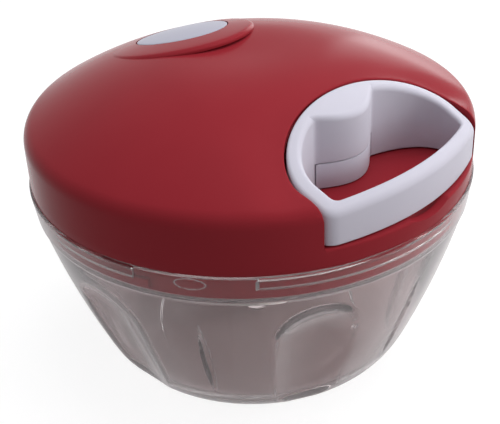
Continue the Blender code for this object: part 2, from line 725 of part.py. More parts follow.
def make_lid_cover(material, parent):
    mesh = lathe("lid_cover", dome_outline(0.0, LID_RADIUS, LID_BOTTOM))
    cover = add_piece("lid_cover", mesh, material, parent)
    far = LID_RADIUS + OVERRUN
    raised = add_guide("raised dome", lathe("raised dome", dome_outline(PAD_RISE, LID_RADIUS, LID_BOTTOM)))
    high = dome_height(0.0) + OVERRUN
    low = dome_height(PAD_DISTANCE + PAD_RADIUS) - OVERRUN
    sides = [(0.0, high), (PAD_RADIUS - PAD_SLOPE, high), (PAD_RADIUS, low), (0.0, low)]
    pad = add_guide("badge pad", lathe("badge pad", sides, MIDDLE_STEPS))
    pad.location = polar(PAD_DISTANCE, PAD_ANGLE)
    trim_to(pad, raised)
    unite(cover, pad)

    hollow_mesh = lathe("hollow", dome_outline(-LID_WALL, LID_RADIUS - LID_WALL, LID_BOTTOM - OVERRUN, 4))
    hollow = add_guide("hollow", hollow_mesh)
    block = prism("pocket block", pocket_plan(POCKET_CLEARANCE + POCKET_WALL, far), POCKET_FLOOR - POCKET_FLOOR_WALL, high)
    cut(hollow, add_guide("pocket block", block), *cover_posts())
    cut(cover, hollow)

    pocket = prism("pocket", pocket_plan(POCKET_CLEARANCE, far), POCKET_FLOOR, high)
    cut(cover, add_guide("pocket", pocket), thumb_notch(), badge_recess())
    guide_hole = rod("guide hole", CORD_RADIUS + 5 * GAP, guide_place(-OVERRUN), guide_place(OVERRUN))
    cut(cover, add_guide("guide hole", guide_hole))
    for index, angle in enumerate(POST_ANGLES):
        cut(cover, screw_hole(f"base screw hole {index + 1}", polar(POST_DISTANCE, angle), PLATE_TOP))
    for index, angle in enumerate(EAR_ANGLES):
        name = f"housing screw hole {index + 1}"
        mesh = cylinder(
            name, SCREW_RADIUS + GAP, HOUSING_BOTTOM, ear_screw_top() + GAP, polar(EAR_DISTANCE, angle), steps=PIN_STEPS
        )
        cut(cover, add_guide(name, mesh))
    seat = cylinder("axle seat", AXLE_RADIUS + GAP, HOUSING_TOP, axle_top() + GAP, steps=PIN_STEPS)
    cut(cover, add_guide("axle seat", seat))


def axle_top():
    return dome_height(0.0) - LID_WALL - AXLE_SEAT + LID_WALL / 2


def ear_screw_top():
    return dome_height(EAR_DISTANCE) - LID_WALL


def guide_place(outward):
    """A point on the cord's line, measured outwards from the middle of the pocket's back wall."""
    back = ARCH_CENTRE - ARCH_REACH - POCKET_CLEARANCE - POCKET_WALL / 2
    return (0.0, -back - outward, CORD_LEVEL)


def thumb_notch():
    """A shallow round cut in the pocket's sill, for a fingertip under the bar."""
    radius = ((NOTCH_WIDTH / 2) ** 2 + NOTCH_DEPTH**2) / (2 * NOTCH_DEPTH)
    height = POCKET_FLOOR + radius - NOTCH_DEPTH
    start = (0.0, -(LID_RADIUS - NOTCH_REACH), height)
    end = (0.0, -(LID_RADIUS + OVERRUN), height)
    return add_guide("thumb notch", rod("thumb notch", radius, start, end, 96))


def badge_recess():
    """The seat of the badge, as deep everywhere below the pad's crowned top."""
    high = dome_height(0.0) + PAD_RISE + OVERRUN
    low = dome_height(PAD_DISTANCE + BADGE_RADIUS) - OVERRUN
    mesh = cylinder("badge recess", BADGE_RADIUS + GAP, low, high, polar(PAD_DISTANCE, PAD_ANGLE), steps=MIDDLE_STEPS)
    recess = add_guide("badge recess", mesh)
    floor_shift = PAD_RISE - BADGE_THICKNESS - GAP
    floor = lathe("recess floor", dome_outline(floor_shift, LID_RADIUS, LID_BOTTOM - OVERRUN))
    cut(recess, add_guide("recess floor", floor))
    return recess


def make_lid_badge(material, parent):
    high = dome_height(0.0) + PAD_RISE + OVERRUN
    low = dome_height(PAD_DISTANCE + BADGE_RADIUS) - OVERRUN
    mesh = cylinder("lid_badge", BADGE_RADIUS, low, high, polar(PAD_DISTANCE, PAD_ANGLE), steps=MIDDLE_STEPS)
    badge = add_piece("lid_badge", mesh, material, parent)
    crown = add_guide("badge crown", lathe("badge crown", dome_outline(PAD_RISE, LID_RADIUS, LID_BOTTOM)))
    underside_mesh = lathe("badge underside", dome_outline(PAD_RISE - BADGE_THICKNESS, LID_RADIUS, LID_BOTTOM - OVERRUN))
    trim_to(badge, crown)
    cut(badge, add_guide("badge underside", underside_mesh))


# Lid base


def make_lid_base(material, parent):
    rim = LID_RADIUS - LID_WALL - GAP
    hub_hole = HUB_RADIUS + GAP
    collar = hub_hole + COLLAR_WALL
    skirt_inner = SKIRT_RADIUS - SKIRT_WALL
    outline = [
        (hub_hole, COLLAR_TOP),
        (collar, COLLAR_TOP),
        (collar, PLATE_TOP),
        (rim, PLATE_TOP),
        (rim, PLATE_BOTTOM),
        (SKIRT_RADIUS, PLATE_BOTTOM),
        (SKIRT_RADIUS, SKIRT_LOW),
        (skirt_inner, SKIRT_LOW),
        (skirt_inner, PLATE_BOTTOM),
        (collar, PLATE_BOTTOM),
        (collar, HUB_BOTTOM),
        (hub_hole, HUB_BOTTOM),
    ]
    base = add_piece("lid_base", lathe("lid_base", outline), material, parent)
    lug_outer = SKIRT_RADIUS + LUG_PROJECTION
    inner = SKIRT_RADIUS - BITE
    high = BOWL_HEIGHT - LEDGE_TOP_DROP - LEDGE_HEIGHT - GAP
    lug = [(inner, high), (lug_outer, high), (lug_outer, high - LUG_HEIGHT), (inner, high - LUG_HEIGHT)]
    middles = [ENTRY_ANGLE - TWIST_ANGLE + math.tau * index / BAYONET_COUNT for index in range(BAYONET_COUNT)]
    unite(base, ring_sectors("bayonet lugs", lug, middles, LUG_HALF_ANGLE, 4))
    for index, angle in enumerate(POST_ANGLES):
        name = f"plate hole {index + 1}"
        centre = polar(POST_DISTANCE, angle)
        mesh = cylinder(name, SCREW_RADIUS + GAP, PLATE_BOTTOM - OVERRUN, PLATE_TOP + OVERRUN, centre, steps=PIN_STEPS)
        cut(base, add_guide(name, mesh))


def screw_mesh(name, centre, under_head, top):
    """A slotted screw that points up, with its head below the face it clamps."""
    low = under_head - SCREW_HEAD_HEIGHT
    round_off = SCREW_SLOT_DEPTH
    outline = [
        (0.0, top),
        (SCREW_RADIUS / 2, top),
        (SCREW_RADIUS, top - SCREW_RADIUS),
        (SCREW_RADIUS, under_head),
        (SCREW_HEAD_RADIUS, under_head),
        (SCREW_HEAD_RADIUS, low + round_off),
        (SCREW_HEAD_RADIUS - round_off, low),
        (0.0, low),
    ]
    mesh = lathe(name, outline, PIN_STEPS)
    mesh.transform(Matrix.Translation((centre[0], centre[1], 0)))
    return mesh


def add_screw(name, centre, under_head, top, material, parent):
    screw = add_piece(name, screw_mesh(name, centre, under_head, top), material, parent)
    low = under_head - SCREW_HEAD_HEIGHT
    half = SCREW_SLOT_WIDTH / 2
    long = SCREW_HEAD_RADIUS + OVERRUN
    plan = [
        (centre[0] - long, centre[1] - half),
        (centre[0] + long, centre[1] - half),
        (centre[0] + long, centre[1] + half),
        (centre[0] - long, centre[1] + half),
    ]
    slot = prism(f"{name} slot", plan, low - OVERRUN, low + SCREW_SLOT_DEPTH)
    cut(screw, add_guide(f"{name} slot", slot))


def make_cover_screws(material, parent):
    for index, angle in enumerate(POST_ANGLES):
        centre = polar(POST_DISTANCE, angle)
        add_screw(
            f"cover_screw_{index + 1}", centre, PLATE_BOTTOM - GAP, PLATE_TOP + SCREW_LENGTH - GAP, material, parent
        )


# Cord mechanism


def eared_plan(radius):
    """Plan of a round plate with a screw ear at each of the ear angles."""
    half = math.asin(EAR_RADIUS / EAR_DISTANCE)
    pitch = math.tau / len(EAR_ANGLES)
    ear_steps = 8
    plate_steps = 11
    points = []
    for angle in EAR_ANGLES:
        for step in range(ear_steps + 1):
            turn = half * (2 * step / ear_steps - 1)
            lateral = EAR_DISTANCE * math.sin(turn)
            reach = EAR_DISTANCE * math.cos(turn) + math.sqrt(max(EAR_RADIUS**2 - lateral**2, 0.0))
            points.append(polar(max(radius, reach), angle + turn))
        for step in range(1, plate_steps):
            points.append(polar(radius, angle + half + (pitch - 2 * half) * step / plate_steps))
    return [(point.x, point.y) for point in points]


def ear_holes(target, name, low, high):
    for index, angle in enumerate(EAR_ANGLES):
        label = f"{name} {index + 1}"
        mesh = cylinder(
            label, SCREW_RADIUS + GAP, low - OVERRUN, high + OVERRUN, polar(EAR_DISTANCE, angle), steps=PIN_STEPS
        )
        cut(target, add_guide(label, mesh))


def make_spring_housing(material, parent):
    """A shallow can, open below, with a flange that carries its ears."""
    plan = eared_plan(HOUSING_RADIUS + GAP)
    mesh = prism("spring_housing", plan, HOUSING_BOTTOM, HOUSING_BOTTOM + EAR_HEIGHT)
    housing = add_piece("spring_housing", mesh, material, parent)
    can = cylinder("housing can", HOUSING_RADIUS, HOUSING_BOTTOM + BITE, HOUSING_TOP, steps=MIDDLE_STEPS)
    unite(housing, add_guide("housing can", can))
    inner = HOUSING_RADIUS - HOUSING_WALL
    room = cylinder("spring room", inner, HOUSING_BOTTOM - OVERRUN, HOUSING_CEILING, steps=MIDDLE_STEPS)
    hole = cylinder("axle hole", AXLE_RADIUS + GAP, HOUSING_CEILING - BITE, HOUSING_TOP + OVERRUN)
    cut(housing, add_guide("spring room", room), add_guide("axle hole", hole))
    ear_holes(housing, "housing ear hole", HOUSING_BOTTOM, HOUSING_BOTTOM + EAR_HEIGHT)


def make_spring_cover(material, parent):
    mesh = prism("spring_cover", eared_plan(HOUSING_RADIUS + GAP), SPRING_COVER_BOTTOM, SPRING_COVER_TOP)
    plate = add_piece("spring_cover", mesh, material, parent)
    low, high = SPRING_COVER_BOTTOM - OVERRUN, SPRING_COVER_TOP + OVERRUN
    hole = cylinder("arbor hole", ARBOR_RADIUS + GAP, low, high, steps=MIDDLE_STEPS)
    cut(plate, add_guide("arbor hole", hole))
    ear_holes(plate, "cover ear hole", SPRING_COVER_BOTTOM, SPRING_COVER_TOP)


def make_housing_screws(material, parent):
    for index, angle in enumerate(EAR_ANGLES):
        name = f"housing_screw_{index + 1}"
        add_screw(name, polar(EAR_DISTANCE, angle), SPRING_COVER_BOTTOM - GAP, ear_screw_top(), material, parent)


def make_recoil_spring(material, parent):
    """A flat strip wound from the spool's arbor out to the housing's wall."""
    start = ARBOR_RADIUS + GAP + SPRING_THICKNESS
    end = HOUSING_RADIUS - HOUSING_WALL - GAP - SPRING_THICKNESS
    low = HOUSING_BOTTOM + GAP
    shape = bmesh.new()
    count = SPRING_TURNS * SPRING_STEPS
    line = []
    for step in range(count + 1):
        radius = start + (end - start) * step / count
        line.append(shape.verts.new(polar(radius, math.tau * step / SPRING_STEPS, low)))
    edges = [shape.edges.new(pair) for pair in zip(line, line[1:])]
    raised = bmesh.ops.extrude_edge_only(shape, edges=edges)["geom"]
    tops = [item for item in raised if isinstance(item, bmesh.types.BMVert)]
    bmesh.ops.translate(shape, verts=tops, vec=(0, 0, SPRING_HEIGHT))
    spring = add_piece("recoil_spring", finish_mesh("recoil_spring", shape), material, parent)
    wall = spring.modifiers.new("strip thickness", "SOLIDIFY")
    wall.thickness = SPRING_THICKNESS
    wall.offset = 0.0


def make_spool(material, parent):
    bore = AXLE_RADIUS + GAP
    low_groove = SPOOL_BOTTOM + SPOOL_FLANGE
    high_groove = SPOOL_TOP - SPOOL_FLANGE
    arbor_top = HOUSING_CEILING - GAP
    outline = [
        (bore, arbor_top),
        (ARBOR_RADIUS, arbor_top),
        (ARBOR_RADIUS, SPOOL_TOP),
        (SPOOL_FLANGE_RADIUS, SPOOL_TOP),
        (SPOOL_FLANGE_RADIUS, high_groove),
        (SPOOL_CORE_RADIUS, high_groove),
        (SPOOL_CORE_RADIUS, low_groove),
        (SPOOL_FLANGE_RADIUS, low_groove),
        (SPOOL_FLANGE_RADIUS, SPOOL_BOTTOM),
        (bore, SPOOL_BOTTOM),
    ]
    spool = add_piece("spool", lathe("spool", outline, MIDDLE_STEPS), material, parent)
    for index in range(PAWL_COUNT):
        centre = pawl_pivot(index)
        low = pawl_bottom() - GAP
        pin = cylinder("pawl pin", PAWL_PIN_RADIUS, low, SPOOL_BOTTOM + BITE, centre, steps=PIN_STEPS)
        unite(spool, add_guide(f"pawl pin {index + 1}", pin))


def make_cord_winding(material, parent):
    inner = SPOOL_CORE_RADIUS + GAP
    outer = SPOOL_CORE_RADIUS + WINDING_DEPTH - CORD_RADIUS - GAP
    half = SPOOL_GROOVE / 2 - GAP
    outline = disc_outline(outer, CORD_LEVEL - half, CORD_LEVEL + half, inner)
    add_piece("cord_winding", lathe("cord_winding", outline, MIDDLE_STEPS), material, parent)


def make_spool_axle(material, parent):
    top = axle_top()
    bore = SCREW_RADIUS + GAP
    outline = [
        (0.0, top),
        (AXLE_RADIUS, top),
        (AXLE_RADIUS, AXLE_BOTTOM),
        (bore, AXLE_BOTTOM),
        (bore, AXLE_BOTTOM + AXLE_SCREW_DEPTH + GAP),
        (0.0, AXLE_BOTTOM + AXLE_SCREW_DEPTH + GAP),
    ]
    add_piece("spool_axle", lathe("spool_axle", outline, PIN_STEPS), material, parent)


def make_axle_washer(material, parent):
    outline = disc_outline(WASHER_RADIUS, WASHER_BOTTOM, WASHER_TOP, SCREW_RADIUS + GAP)
    add_piece("axle_washer", lathe("axle_washer", outline, SMALL_STEPS), material, parent)


def make_axle_screw(material, parent):
    add_screw("axle_screw", (0.0, 0.0), WASHER_BOTTOM - GAP, AXLE_BOTTOM + AXLE_SCREW_DEPTH, material, parent)


def ratchet_plan(radius):
    """Saw teeth whose steep faces look anticlockwise, so that the pawls drive them clockwise."""
    points = []
    ramp_steps = 3
    for tooth in range(RATCHET_TEETH):
        for step in range(ramp_steps):
            angle = math.tau * (tooth + step / (ramp_steps - 1) * 0.999) / RATCHET_TEETH
            depth = RATCHET_TOOTH * (1 - step / (ramp_steps - 1))
            points.append(tuple(polar(radius - depth, angle))[:2])
    return points


def make_drive_hub(material, parent):
    wheel = prism("drive_hub", ratchet_plan(RATCHET_RADIUS), RATCHET_BOTTOM, RATCHET_TOP)
    hub = add_piece("drive_hub", wheel, material, parent)
    neck = cylinder("hub neck", HUB_RADIUS, HUB_BOTTOM, RATCHET_BOTTOM + BITE, steps=36)
    unite(hub, add_guide("hub neck", neck))
    bore = cylinder("hub bore", AXLE_RADIUS + GAP, WEB_BOTTOM - BITE, RATCHET_TOP + OVERRUN, steps=SMALL_STEPS)
    room_low = HUB_BOTTOM + SOCKET_DEPTH
    room = cylinder("washer room", WASHER_RADIUS + GAP, room_low - BITE, WEB_BOTTOM, steps=SMALL_STEPS)
    corners = [tuple(polar(SOCKET_RADIUS, math.tau * side / 6))[:2] for side in range(6)]
    socket = prism("hex socket", corners, HUB_BOTTOM - OVERRUN, room_low)
    cut(hub, add_guide("hub bore", bore), add_guide("washer room", room), add_guide("hex socket", socket))


def pawl_bottom():
    return SPOOL_BOTTOM - GAP - PAWL_THICKNESS


def pawl_base_angle(index):
    """Angle of the steep tooth face that a pawl pushes on."""
    return math.tau * round(RATCHET_TEETH * index / PAWL_COUNT) / RATCHET_TEETH


def pawl_pivot(index):
    return polar(PAWL_PIVOT_DISTANCE, pawl_base_angle(index) + PAWL_PIVOT_ANGLE)


def make_pawl(index, material, parent):
    """A finger from its eye on the spool's pin down into the valley in front of a steep tooth face."""
    face = pawl_base_angle(index)
    clear = GAP / RATCHET_RADIUS
    tip_radius = RATCHET_RADIUS - PAWL_BITE
    tip_angle = face + clear * 1.5
    heel_angle = tip_angle + PAWL_TIP / RATCHET_RADIUS
    pivot = pawl_pivot(index)
    outline = [
        polar(tip_radius + GAP, heel_angle),
        polar(tip_radius, tip_angle),
        polar(RATCHET_RADIUS + PAWL_TIP, tip_angle),
    ]
    toward = (outline[-1] - pivot).to_2d()
    start = math.atan2(toward.y, toward.x)
    eye_steps = 12
    for step in range(eye_steps + 1):
        turn = start + math.pi / 2 + math.pi * step / eye_steps
        outline.append(pivot + polar(PAWL_EYE_RADIUS, turn))
    name = f"pawl_{index + 1}"
    mesh = prism(name, [(point.x, point.y) for point in outline], pawl_bottom(), SPOOL_BOTTOM - GAP)
    pawl = add_piece(name, mesh, material, parent)
    eye = cylinder(
        "eye", PAWL_PIN_RADIUS + GAP, pawl_bottom() - OVERRUN, SPOOL_BOTTOM + OVERRUN, pivot, steps=PIN_STEPS
    )
    cut(pawl, add_guide(f"{name} eye", eye))


def cord_route():
    """The pull cord's route: off the winding along a tangent, then straight out through the guide to the knot."""
    wound = SPOOL_CORE_RADIUS + WINDING_DEPTH
    bush = -guide_place(0.0)[1]
    lean = math.acos(wound / bush)
    leave = Vector((wound * math.sin(lean), -wound * math.cos(lean), CORD_LEVEL))
    bush_in = Vector(guide_place(-POCKET_WALL - OVERRUN / 2))
    end = Vector((0.0, -(KNOT_DISTANCE - KNOT_RADIUS - GAP), CORD_LEVEL))
    heading = (Vector(guide_place(0.0)) - leave).normalized()
    start = leave + heading * CORD_RADIUS
    before = bush_in - heading * OVERRUN
    points = [start.lerp(before, share) for share in (0.0, 0.35, 0.7)]
    points += [Vector(point) for point in bend(before, bush_in, guide_place(0.0), 5)]
    points += [Vector(guide_place(0.0)).lerp(end, share) for share in (0.35, 0.7, 1.0)]
    return points


def make_pull_cord(material, parent):
    curve = bpy.data.curves.new("pull_cord", "CURVE")
    curve.dimensions = "3D"
    curve.bevel_depth = CORD_RADIUS
    curve.bevel_resolution = 2
    curve.use_fill_caps = True
    spline = curve.splines.new("POLY")
    points = cord_route()
    spline.points.add(len(points) - 1)
    place = world_place(parent)
    for point, spot in zip(spline.points, points):
        point.co = (*(spot - place), 1.0)
    curve.materials.append(material)
    cord = bpy.data.objects.new("pull_cord", curve)
    bpy.context.scene.collection.objects.link(cord)
    cord.parent = parent


def make_cord_guide(material, parent):
    """The flanged bush that leads the cord through the pocket's back wall."""
    bore = CORD_RADIUS + 1.5 * GAP
    body = CORD_RADIUS + 4 * GAP
    flange = body + 4 * GAP
    flange_thickness = 3 * GAP
    inner_face = POCKET_WALL / 2 + GAP
    outline = [
        (bore, inner_face + flange_thickness),
        (flange, inner_face + flange_thickness),
        (flange, inner_face),
        (body, inner_face),
        (body, -POCKET_WALL / 2),
        (bore, -POCKET_WALL / 2),
    ]
    mesh = lathe("cord_guide", outline, PIN_STEPS)
    mesh.transform(Matrix.Translation(guide_place(0.0)) @ Matrix.Rotation(-math.pi / 2, 4, "X"))
    add_piece("cord_guide", mesh, material, parent)


# Handle


def make_handle_loop(material, parent):
    loop = add_piece("handle_loop", loft("handle_loop", handle_sections()), material, parent)
    steps = 12
    wide = BOSS_HALF_WIDTH + GAP
    wall = [(x, arch_inner_y(x)) for x in (wide * (1 - 2 * step / steps) for step in range(steps + 1))]
    front = -(KNOT_DISTANCE + BOSS_DEPTH + OVERRUN)
    room = prism("cap room", [*wall, (-wide, front), (wide, front)], HANDLE_FOOT - OVERRUN, CAP_TOP)
    centre = (0.0, -KNOT_DISTANCE)
    chamber = cylinder("knot room", KNOT_RADIUS + GAP, CAP_TOP - BITE, CORD_LEVEL + KNOT_RADIUS + GAP, centre)
    hole = rod("cord hole", CORD_RADIUS + GAP, (0.0, -KNOT_DISTANCE, CORD_LEVEL), guide_place(0.0))
    cut(loop, add_guide("cap room", room), add_guide("knot room", chamber), add_guide("cord hole", hole))


def make_handle_cap(material, parent):
    """The lower part of the cord boss, a separate cap that keeps the knot in."""
    steps = 20
    wide = BOSS_HALF_WIDTH - 3 * GAP
    across = [wide * (1 - 2 * step / steps) for step in range(steps + 1)]
    back = [(x, arch_inner_y(x) - GAP) for x in across]
    nose = [(x, arch_inner_y(x) - boss_reach(x)) for x in reversed(across)]
    outline = back + [point for point in nose if point[1] < arch_inner_y(point[0]) - 2 * GAP]
    mesh = prism("handle_cap", outline, HANDLE_FOOT, CAP_TOP - GAP)
    cap = add_piece("handle_cap", mesh, material, parent)
    dish = cylinder(
        "knot dish",
        KNOT_RADIUS + GAP,
        CORD_LEVEL - KNOT_RADIUS - GAP,
        CAP_TOP + OVERRUN,
        (0.0, -KNOT_DISTANCE),
    )
    cut(cap, add_guide("knot dish", dish))


def make_cord_knot(material, parent):
    shape = bmesh.new()
    bmesh.ops.create_uvsphere(shape, u_segments=16, v_segments=10, radius=KNOT_RADIUS)
    mesh = finish_mesh("cord_knot", shape)
    mesh.transform(Matrix.Translation((0, -KNOT_DISTANCE, CORD_LEVEL)))
    add_piece("cord_knot", mesh, material, parent)


# Blade unit


def make_blade_shaft(material, parent):
    bore = PIN_RADIUS + GAP
    outline = [
        (0.0, HUB_BOTTOM - GAP),
        (SHAFT_NECK, HUB_BOTTOM - GAP),
        (SHAFT_NECK, SHAFT_SHOULDER_HEIGHT + SHAFT_SHOULDER),
        (SHAFT_SHOULDER, SHAFT_SHOULDER_HEIGHT + SHAFT_NECK / 2),
        (SHAFT_SHOULDER, SHAFT_BOTTOM + SHAFT_NECK / 2),
        (SHAFT_RADIUS, SHAFT_BOTTOM),
        (bore, SHAFT_BOTTOM),
        (bore, PIN_TOP + GAP),
        (0.0, PIN_TOP + GAP),
    ]
    shaft = add_piece("blade_shaft", lathe("blade_shaft", outline, 36), material, parent)
    corners = [tuple(polar(SOCKET_RADIUS - 1.5 * GAP, math.tau * side / 6))[:2] for side in range(6)]
    hexagon = prism("hex top", corners, HUB_BOTTOM - GAP - BITE, SHAFT_TOP)
    unite(shaft, add_guide("hex top", hexagon))
    for index, height in enumerate(BLADE_HEIGHTS):
        slot = blade_mesh(f"blade slot {index + 1}", index, GAP)
        cut(shaft, add_guide(f"blade slot {index + 1}", slot))


def blade_mesh(name, index, grow):
    """A blade swept back from its clockwise cut, ground on its leading edge, or with grow the slot that it sits in."""
    height, angle, lift = BLADE_HEIGHTS[index], BLADE_ANGLES[index], BLADE_LIFTS[index]
    half = BLADE_THICKNESS / 2 + grow
    edge = BLADE_EDGE / 2 + grow
    sections = []
    for step in range(BLADE_STEPS + 1):
        share = step / BLADE_STEPS
        along = BLADE_ROOT - grow + (BLADE_REACH - BLADE_ROOT + 2 * grow) * share
        width = BLADE_ROOT_WIDTH + (BLADE_TIP_WIDTH - BLADE_ROOT_WIDTH) * share**BLADE_TAPER_SHARE
        middle = BLADE_SWEEP * share * share
        level = height + lift * share * share
        back = middle + width / 2 + grow
        front = middle - width / 2 - grow
        grind = min(BLADE_GRIND, width * BLADE_GRIND_SHARE)
        sections.append(
            [
                (along, back, level - half),
                (along, back, level + half),
                (along, front + grind, level + half),
                (along, front, level + edge),
                (along, front, level - edge),
                (along, front + grind, level - half),
            ]
        )
    mesh = loft_open(name, sections)
    mesh.transform(Matrix.Rotation(angle, 4, "Z"))
    return mesh


def make_blades(material, parent):
    for index, label in enumerate(("low", "middle", "high")):
        name = f"blade_{label}"
        add_piece(name, blade_mesh(name, index, 0.0), material, parent)


def main():
    clear_scene()
    clear = make_material("clear plastic", (0.78, 0.76, 0.78), 0.08, transmission=0.9)
    red = make_material("red plastic", (0.30, 0.022, 0.032), 0.22)
    white = make_material("white plastic", (0.60, 0.58, 0.68), 0.30)
    natural = make_material("natural plastic", (0.70, 0.69, 0.66), 0.45)
    black = make_material("black plastic", (0.03, 0.03, 0.032), 0.45)
    steel = make_material("polished steel", (0.62, 0.62, 0.63), 0.20, metallic=1.0)
    cord = make_material("white cord", (0.72, 0.72, 0.74), 0.80)

    bowl_frame = add_empty("bowl frame", (0, 0, 0))
    lid_frame = add_empty("lid twist axis", (0, 0, BOWL_HEIGHT), bowl_frame)
    handle_frame = add_empty("handle pull line", (0, -KNOT_DISTANCE, CORD_HEIGHT), lid_frame)
    spool_frame = add_empty("spool axis", (0, 0, CORD_HEIGHT), lid_frame)
    drive_frame = add_empty("drive axis", (0, 0, PLATE_TOP - BOWL_HEIGHT), lid_frame)

    make_bowl(clear, bowl_frame)
    make_bowl_pin(steel, bowl_frame)
    make_lid_cover(red, lid_frame)
    make_lid_base(red, lid_frame)
    make_lid_badge(white, lid_frame)
    make_cover_screws(steel, lid_frame)
    make_spring_housing(black, lid_frame)
    make_spring_cover(black, lid_frame)
    make_recoil_spring(steel, lid_frame)
    make_housing_screws(steel, lid_frame)
    make_spool_axle(steel, lid_frame)
    make_axle_washer(steel, lid_frame)
    make_axle_screw(steel, lid_frame)
    make_cord_guide(natural, lid_frame)
    make_pull_cord(cord, lid_frame)
    make_spool(natural, spool_frame)
    make_cord_winding(cord, spool_frame)
    for index in range(PAWL_COUNT):
        pivot = pawl_pivot(index)
        pawl_frame = add_empty(f"pawl {index + 1} pivot", (pivot.x, pivot.y, 0), spool_frame)
        make_pawl(index, natural, pawl_frame)
    make_drive_hub(natural, drive_frame)
    make_blade_shaft(natural, drive_frame)
    make_blades(steel, drive_frame)
    make_handle_loop(white, handle_frame)
    make_handle_cap(white, handle_frame)
    make_cord_knot(cord, handle_frame)


main()
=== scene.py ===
"""Looks of a pull cord food chopper: clear bowl with pressed scoops, red lid, white handle and blade unit.

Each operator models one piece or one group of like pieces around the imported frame, and the last one sets the stage.
"""

import json
import math

import bmesh
import bpy
from bpy.props import FloatProperty, FloatVectorProperty, PointerProperty
from mathutils import Matrix, Vector

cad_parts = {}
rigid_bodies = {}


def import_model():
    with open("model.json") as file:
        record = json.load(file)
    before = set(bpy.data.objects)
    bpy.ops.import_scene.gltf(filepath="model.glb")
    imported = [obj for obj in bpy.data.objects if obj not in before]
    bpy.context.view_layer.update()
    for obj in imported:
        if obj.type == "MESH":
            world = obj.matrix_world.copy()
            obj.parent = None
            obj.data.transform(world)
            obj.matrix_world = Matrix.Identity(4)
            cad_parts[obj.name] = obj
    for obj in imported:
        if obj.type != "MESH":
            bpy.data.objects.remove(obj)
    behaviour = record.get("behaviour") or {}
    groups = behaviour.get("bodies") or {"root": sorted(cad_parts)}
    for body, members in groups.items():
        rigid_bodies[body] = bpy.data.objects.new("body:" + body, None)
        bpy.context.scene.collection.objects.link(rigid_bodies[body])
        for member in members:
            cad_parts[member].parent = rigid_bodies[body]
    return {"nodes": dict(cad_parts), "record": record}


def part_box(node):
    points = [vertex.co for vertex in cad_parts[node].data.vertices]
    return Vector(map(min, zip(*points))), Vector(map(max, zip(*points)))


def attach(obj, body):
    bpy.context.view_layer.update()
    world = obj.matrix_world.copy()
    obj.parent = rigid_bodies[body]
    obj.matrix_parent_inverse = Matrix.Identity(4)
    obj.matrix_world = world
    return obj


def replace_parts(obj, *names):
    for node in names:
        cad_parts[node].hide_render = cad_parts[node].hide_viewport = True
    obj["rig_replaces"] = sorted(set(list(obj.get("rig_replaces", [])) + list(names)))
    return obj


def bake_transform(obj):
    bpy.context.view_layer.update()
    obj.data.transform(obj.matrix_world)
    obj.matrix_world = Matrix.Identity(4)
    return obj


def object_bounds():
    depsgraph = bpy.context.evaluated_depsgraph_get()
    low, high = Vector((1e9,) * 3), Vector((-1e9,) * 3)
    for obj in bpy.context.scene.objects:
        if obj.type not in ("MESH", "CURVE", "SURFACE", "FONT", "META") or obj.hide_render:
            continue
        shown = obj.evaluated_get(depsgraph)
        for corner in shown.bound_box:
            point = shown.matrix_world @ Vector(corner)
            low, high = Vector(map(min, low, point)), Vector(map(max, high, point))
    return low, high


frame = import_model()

bl_info = {
    "name": "Pull cord food chopper",
    "version": (1, 0, 0),
    "blender": (4, 5, 0),
    "location": "View3D > Sidebar > Chopper",
    "description": "Models and finishes a small food chopper around its packed frame",
    "category": "Add Mesh",
}

MM = 0.001
CAD_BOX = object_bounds()

# Sizes taken from the frame
RIM_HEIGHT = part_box("bowl")[1].z
RIM_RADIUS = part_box("bowl")[1].x
LID_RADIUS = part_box("lid_cover")[1].x
LID_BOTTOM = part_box("lid_cover")[0].z
SKIRT_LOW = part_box("lid_base")[0].z
COLLAR_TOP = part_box("lid_base")[1].z
HUB_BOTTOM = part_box("drive_hub")[0].z
HANDLE_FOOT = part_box("handle_loop")[0].z
CAP_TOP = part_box("handle_cap")[1].z
CORD_LEVEL = (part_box("cord_knot")[0].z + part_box("cord_knot")[1].z) / 2
SHAFT_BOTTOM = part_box("blade_shaft")[0].z
PIN_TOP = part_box("bowl_pin")[1].z

# Clearance between pieces, how far a cutter runs past what it cuts, and the span within which points are merged
GAP = 0.3 * MM
OVERRUN = 3.0 * MM
MERGE = 0.002 * MM

# Bowl
BAND_HEIGHT = 7.2 * MM
BAND_TAPER = 1.0 * MM
RIM_WALL = 1.7 * MM
RIM_ROUND = 0.6 * MM
RIM_STEP = 0.4 * MM
THIN_WALL = 1.2 * MM
FLANK_FOOT_RADIUS = 45.8 * MM
FLANK_FOOT_HEIGHT = 9.7 * MM
FLANK_BULGE = 0.8 * MM
FOOT_RADIUS = 36.5 * MM
FOOT_RING_WIDTH = 6.5 * MM
FOOT_RECESS = 1.0 * MM
FLOOR_TOP = 3.4 * MM
BOSS_RADIUS = 5.0 * MM
BOSS_TOP = 6.4 * MM
PIN_HOLE_RADIUS = 2.3 * MM
SCOOP_COUNT = 6
SCOOP_FIRST_ANGLE = math.radians(-120)
FLUTE_HEIGHT = 22.5 * MM
PRESS_ROUND = 0.8 * MM
LIP_DEPTH = 0.3 * MM
CROWDING = 0.5

# Bayonet
BAYONET_COUNT = 3
ENTRY_ANGLE = math.radians(-150)
ENTRY_HALF_ANGLE = math.radians(14.6)
TWIST_ANGLE = math.radians(18.3)
LEDGE_DEPTH = 1.6 * MM
LEDGE_TOP_DROP = 1.6 * MM
LEDGE_HEIGHT = 2.2 * MM
LUG_HALF_ANGLE = math.radians(7.0)
LUG_PROJECTION = 1.2 * MM
LUG_HEIGHT = 2.6 * MM
MARK_WIDTH = 7.4 * MM
MARK_HEIGHT = 3.1 * MM
MARK_DROP = 1.8 * MM
MARK_PROUD = 0.55 * MM
MARK_STEEPNESS = 8

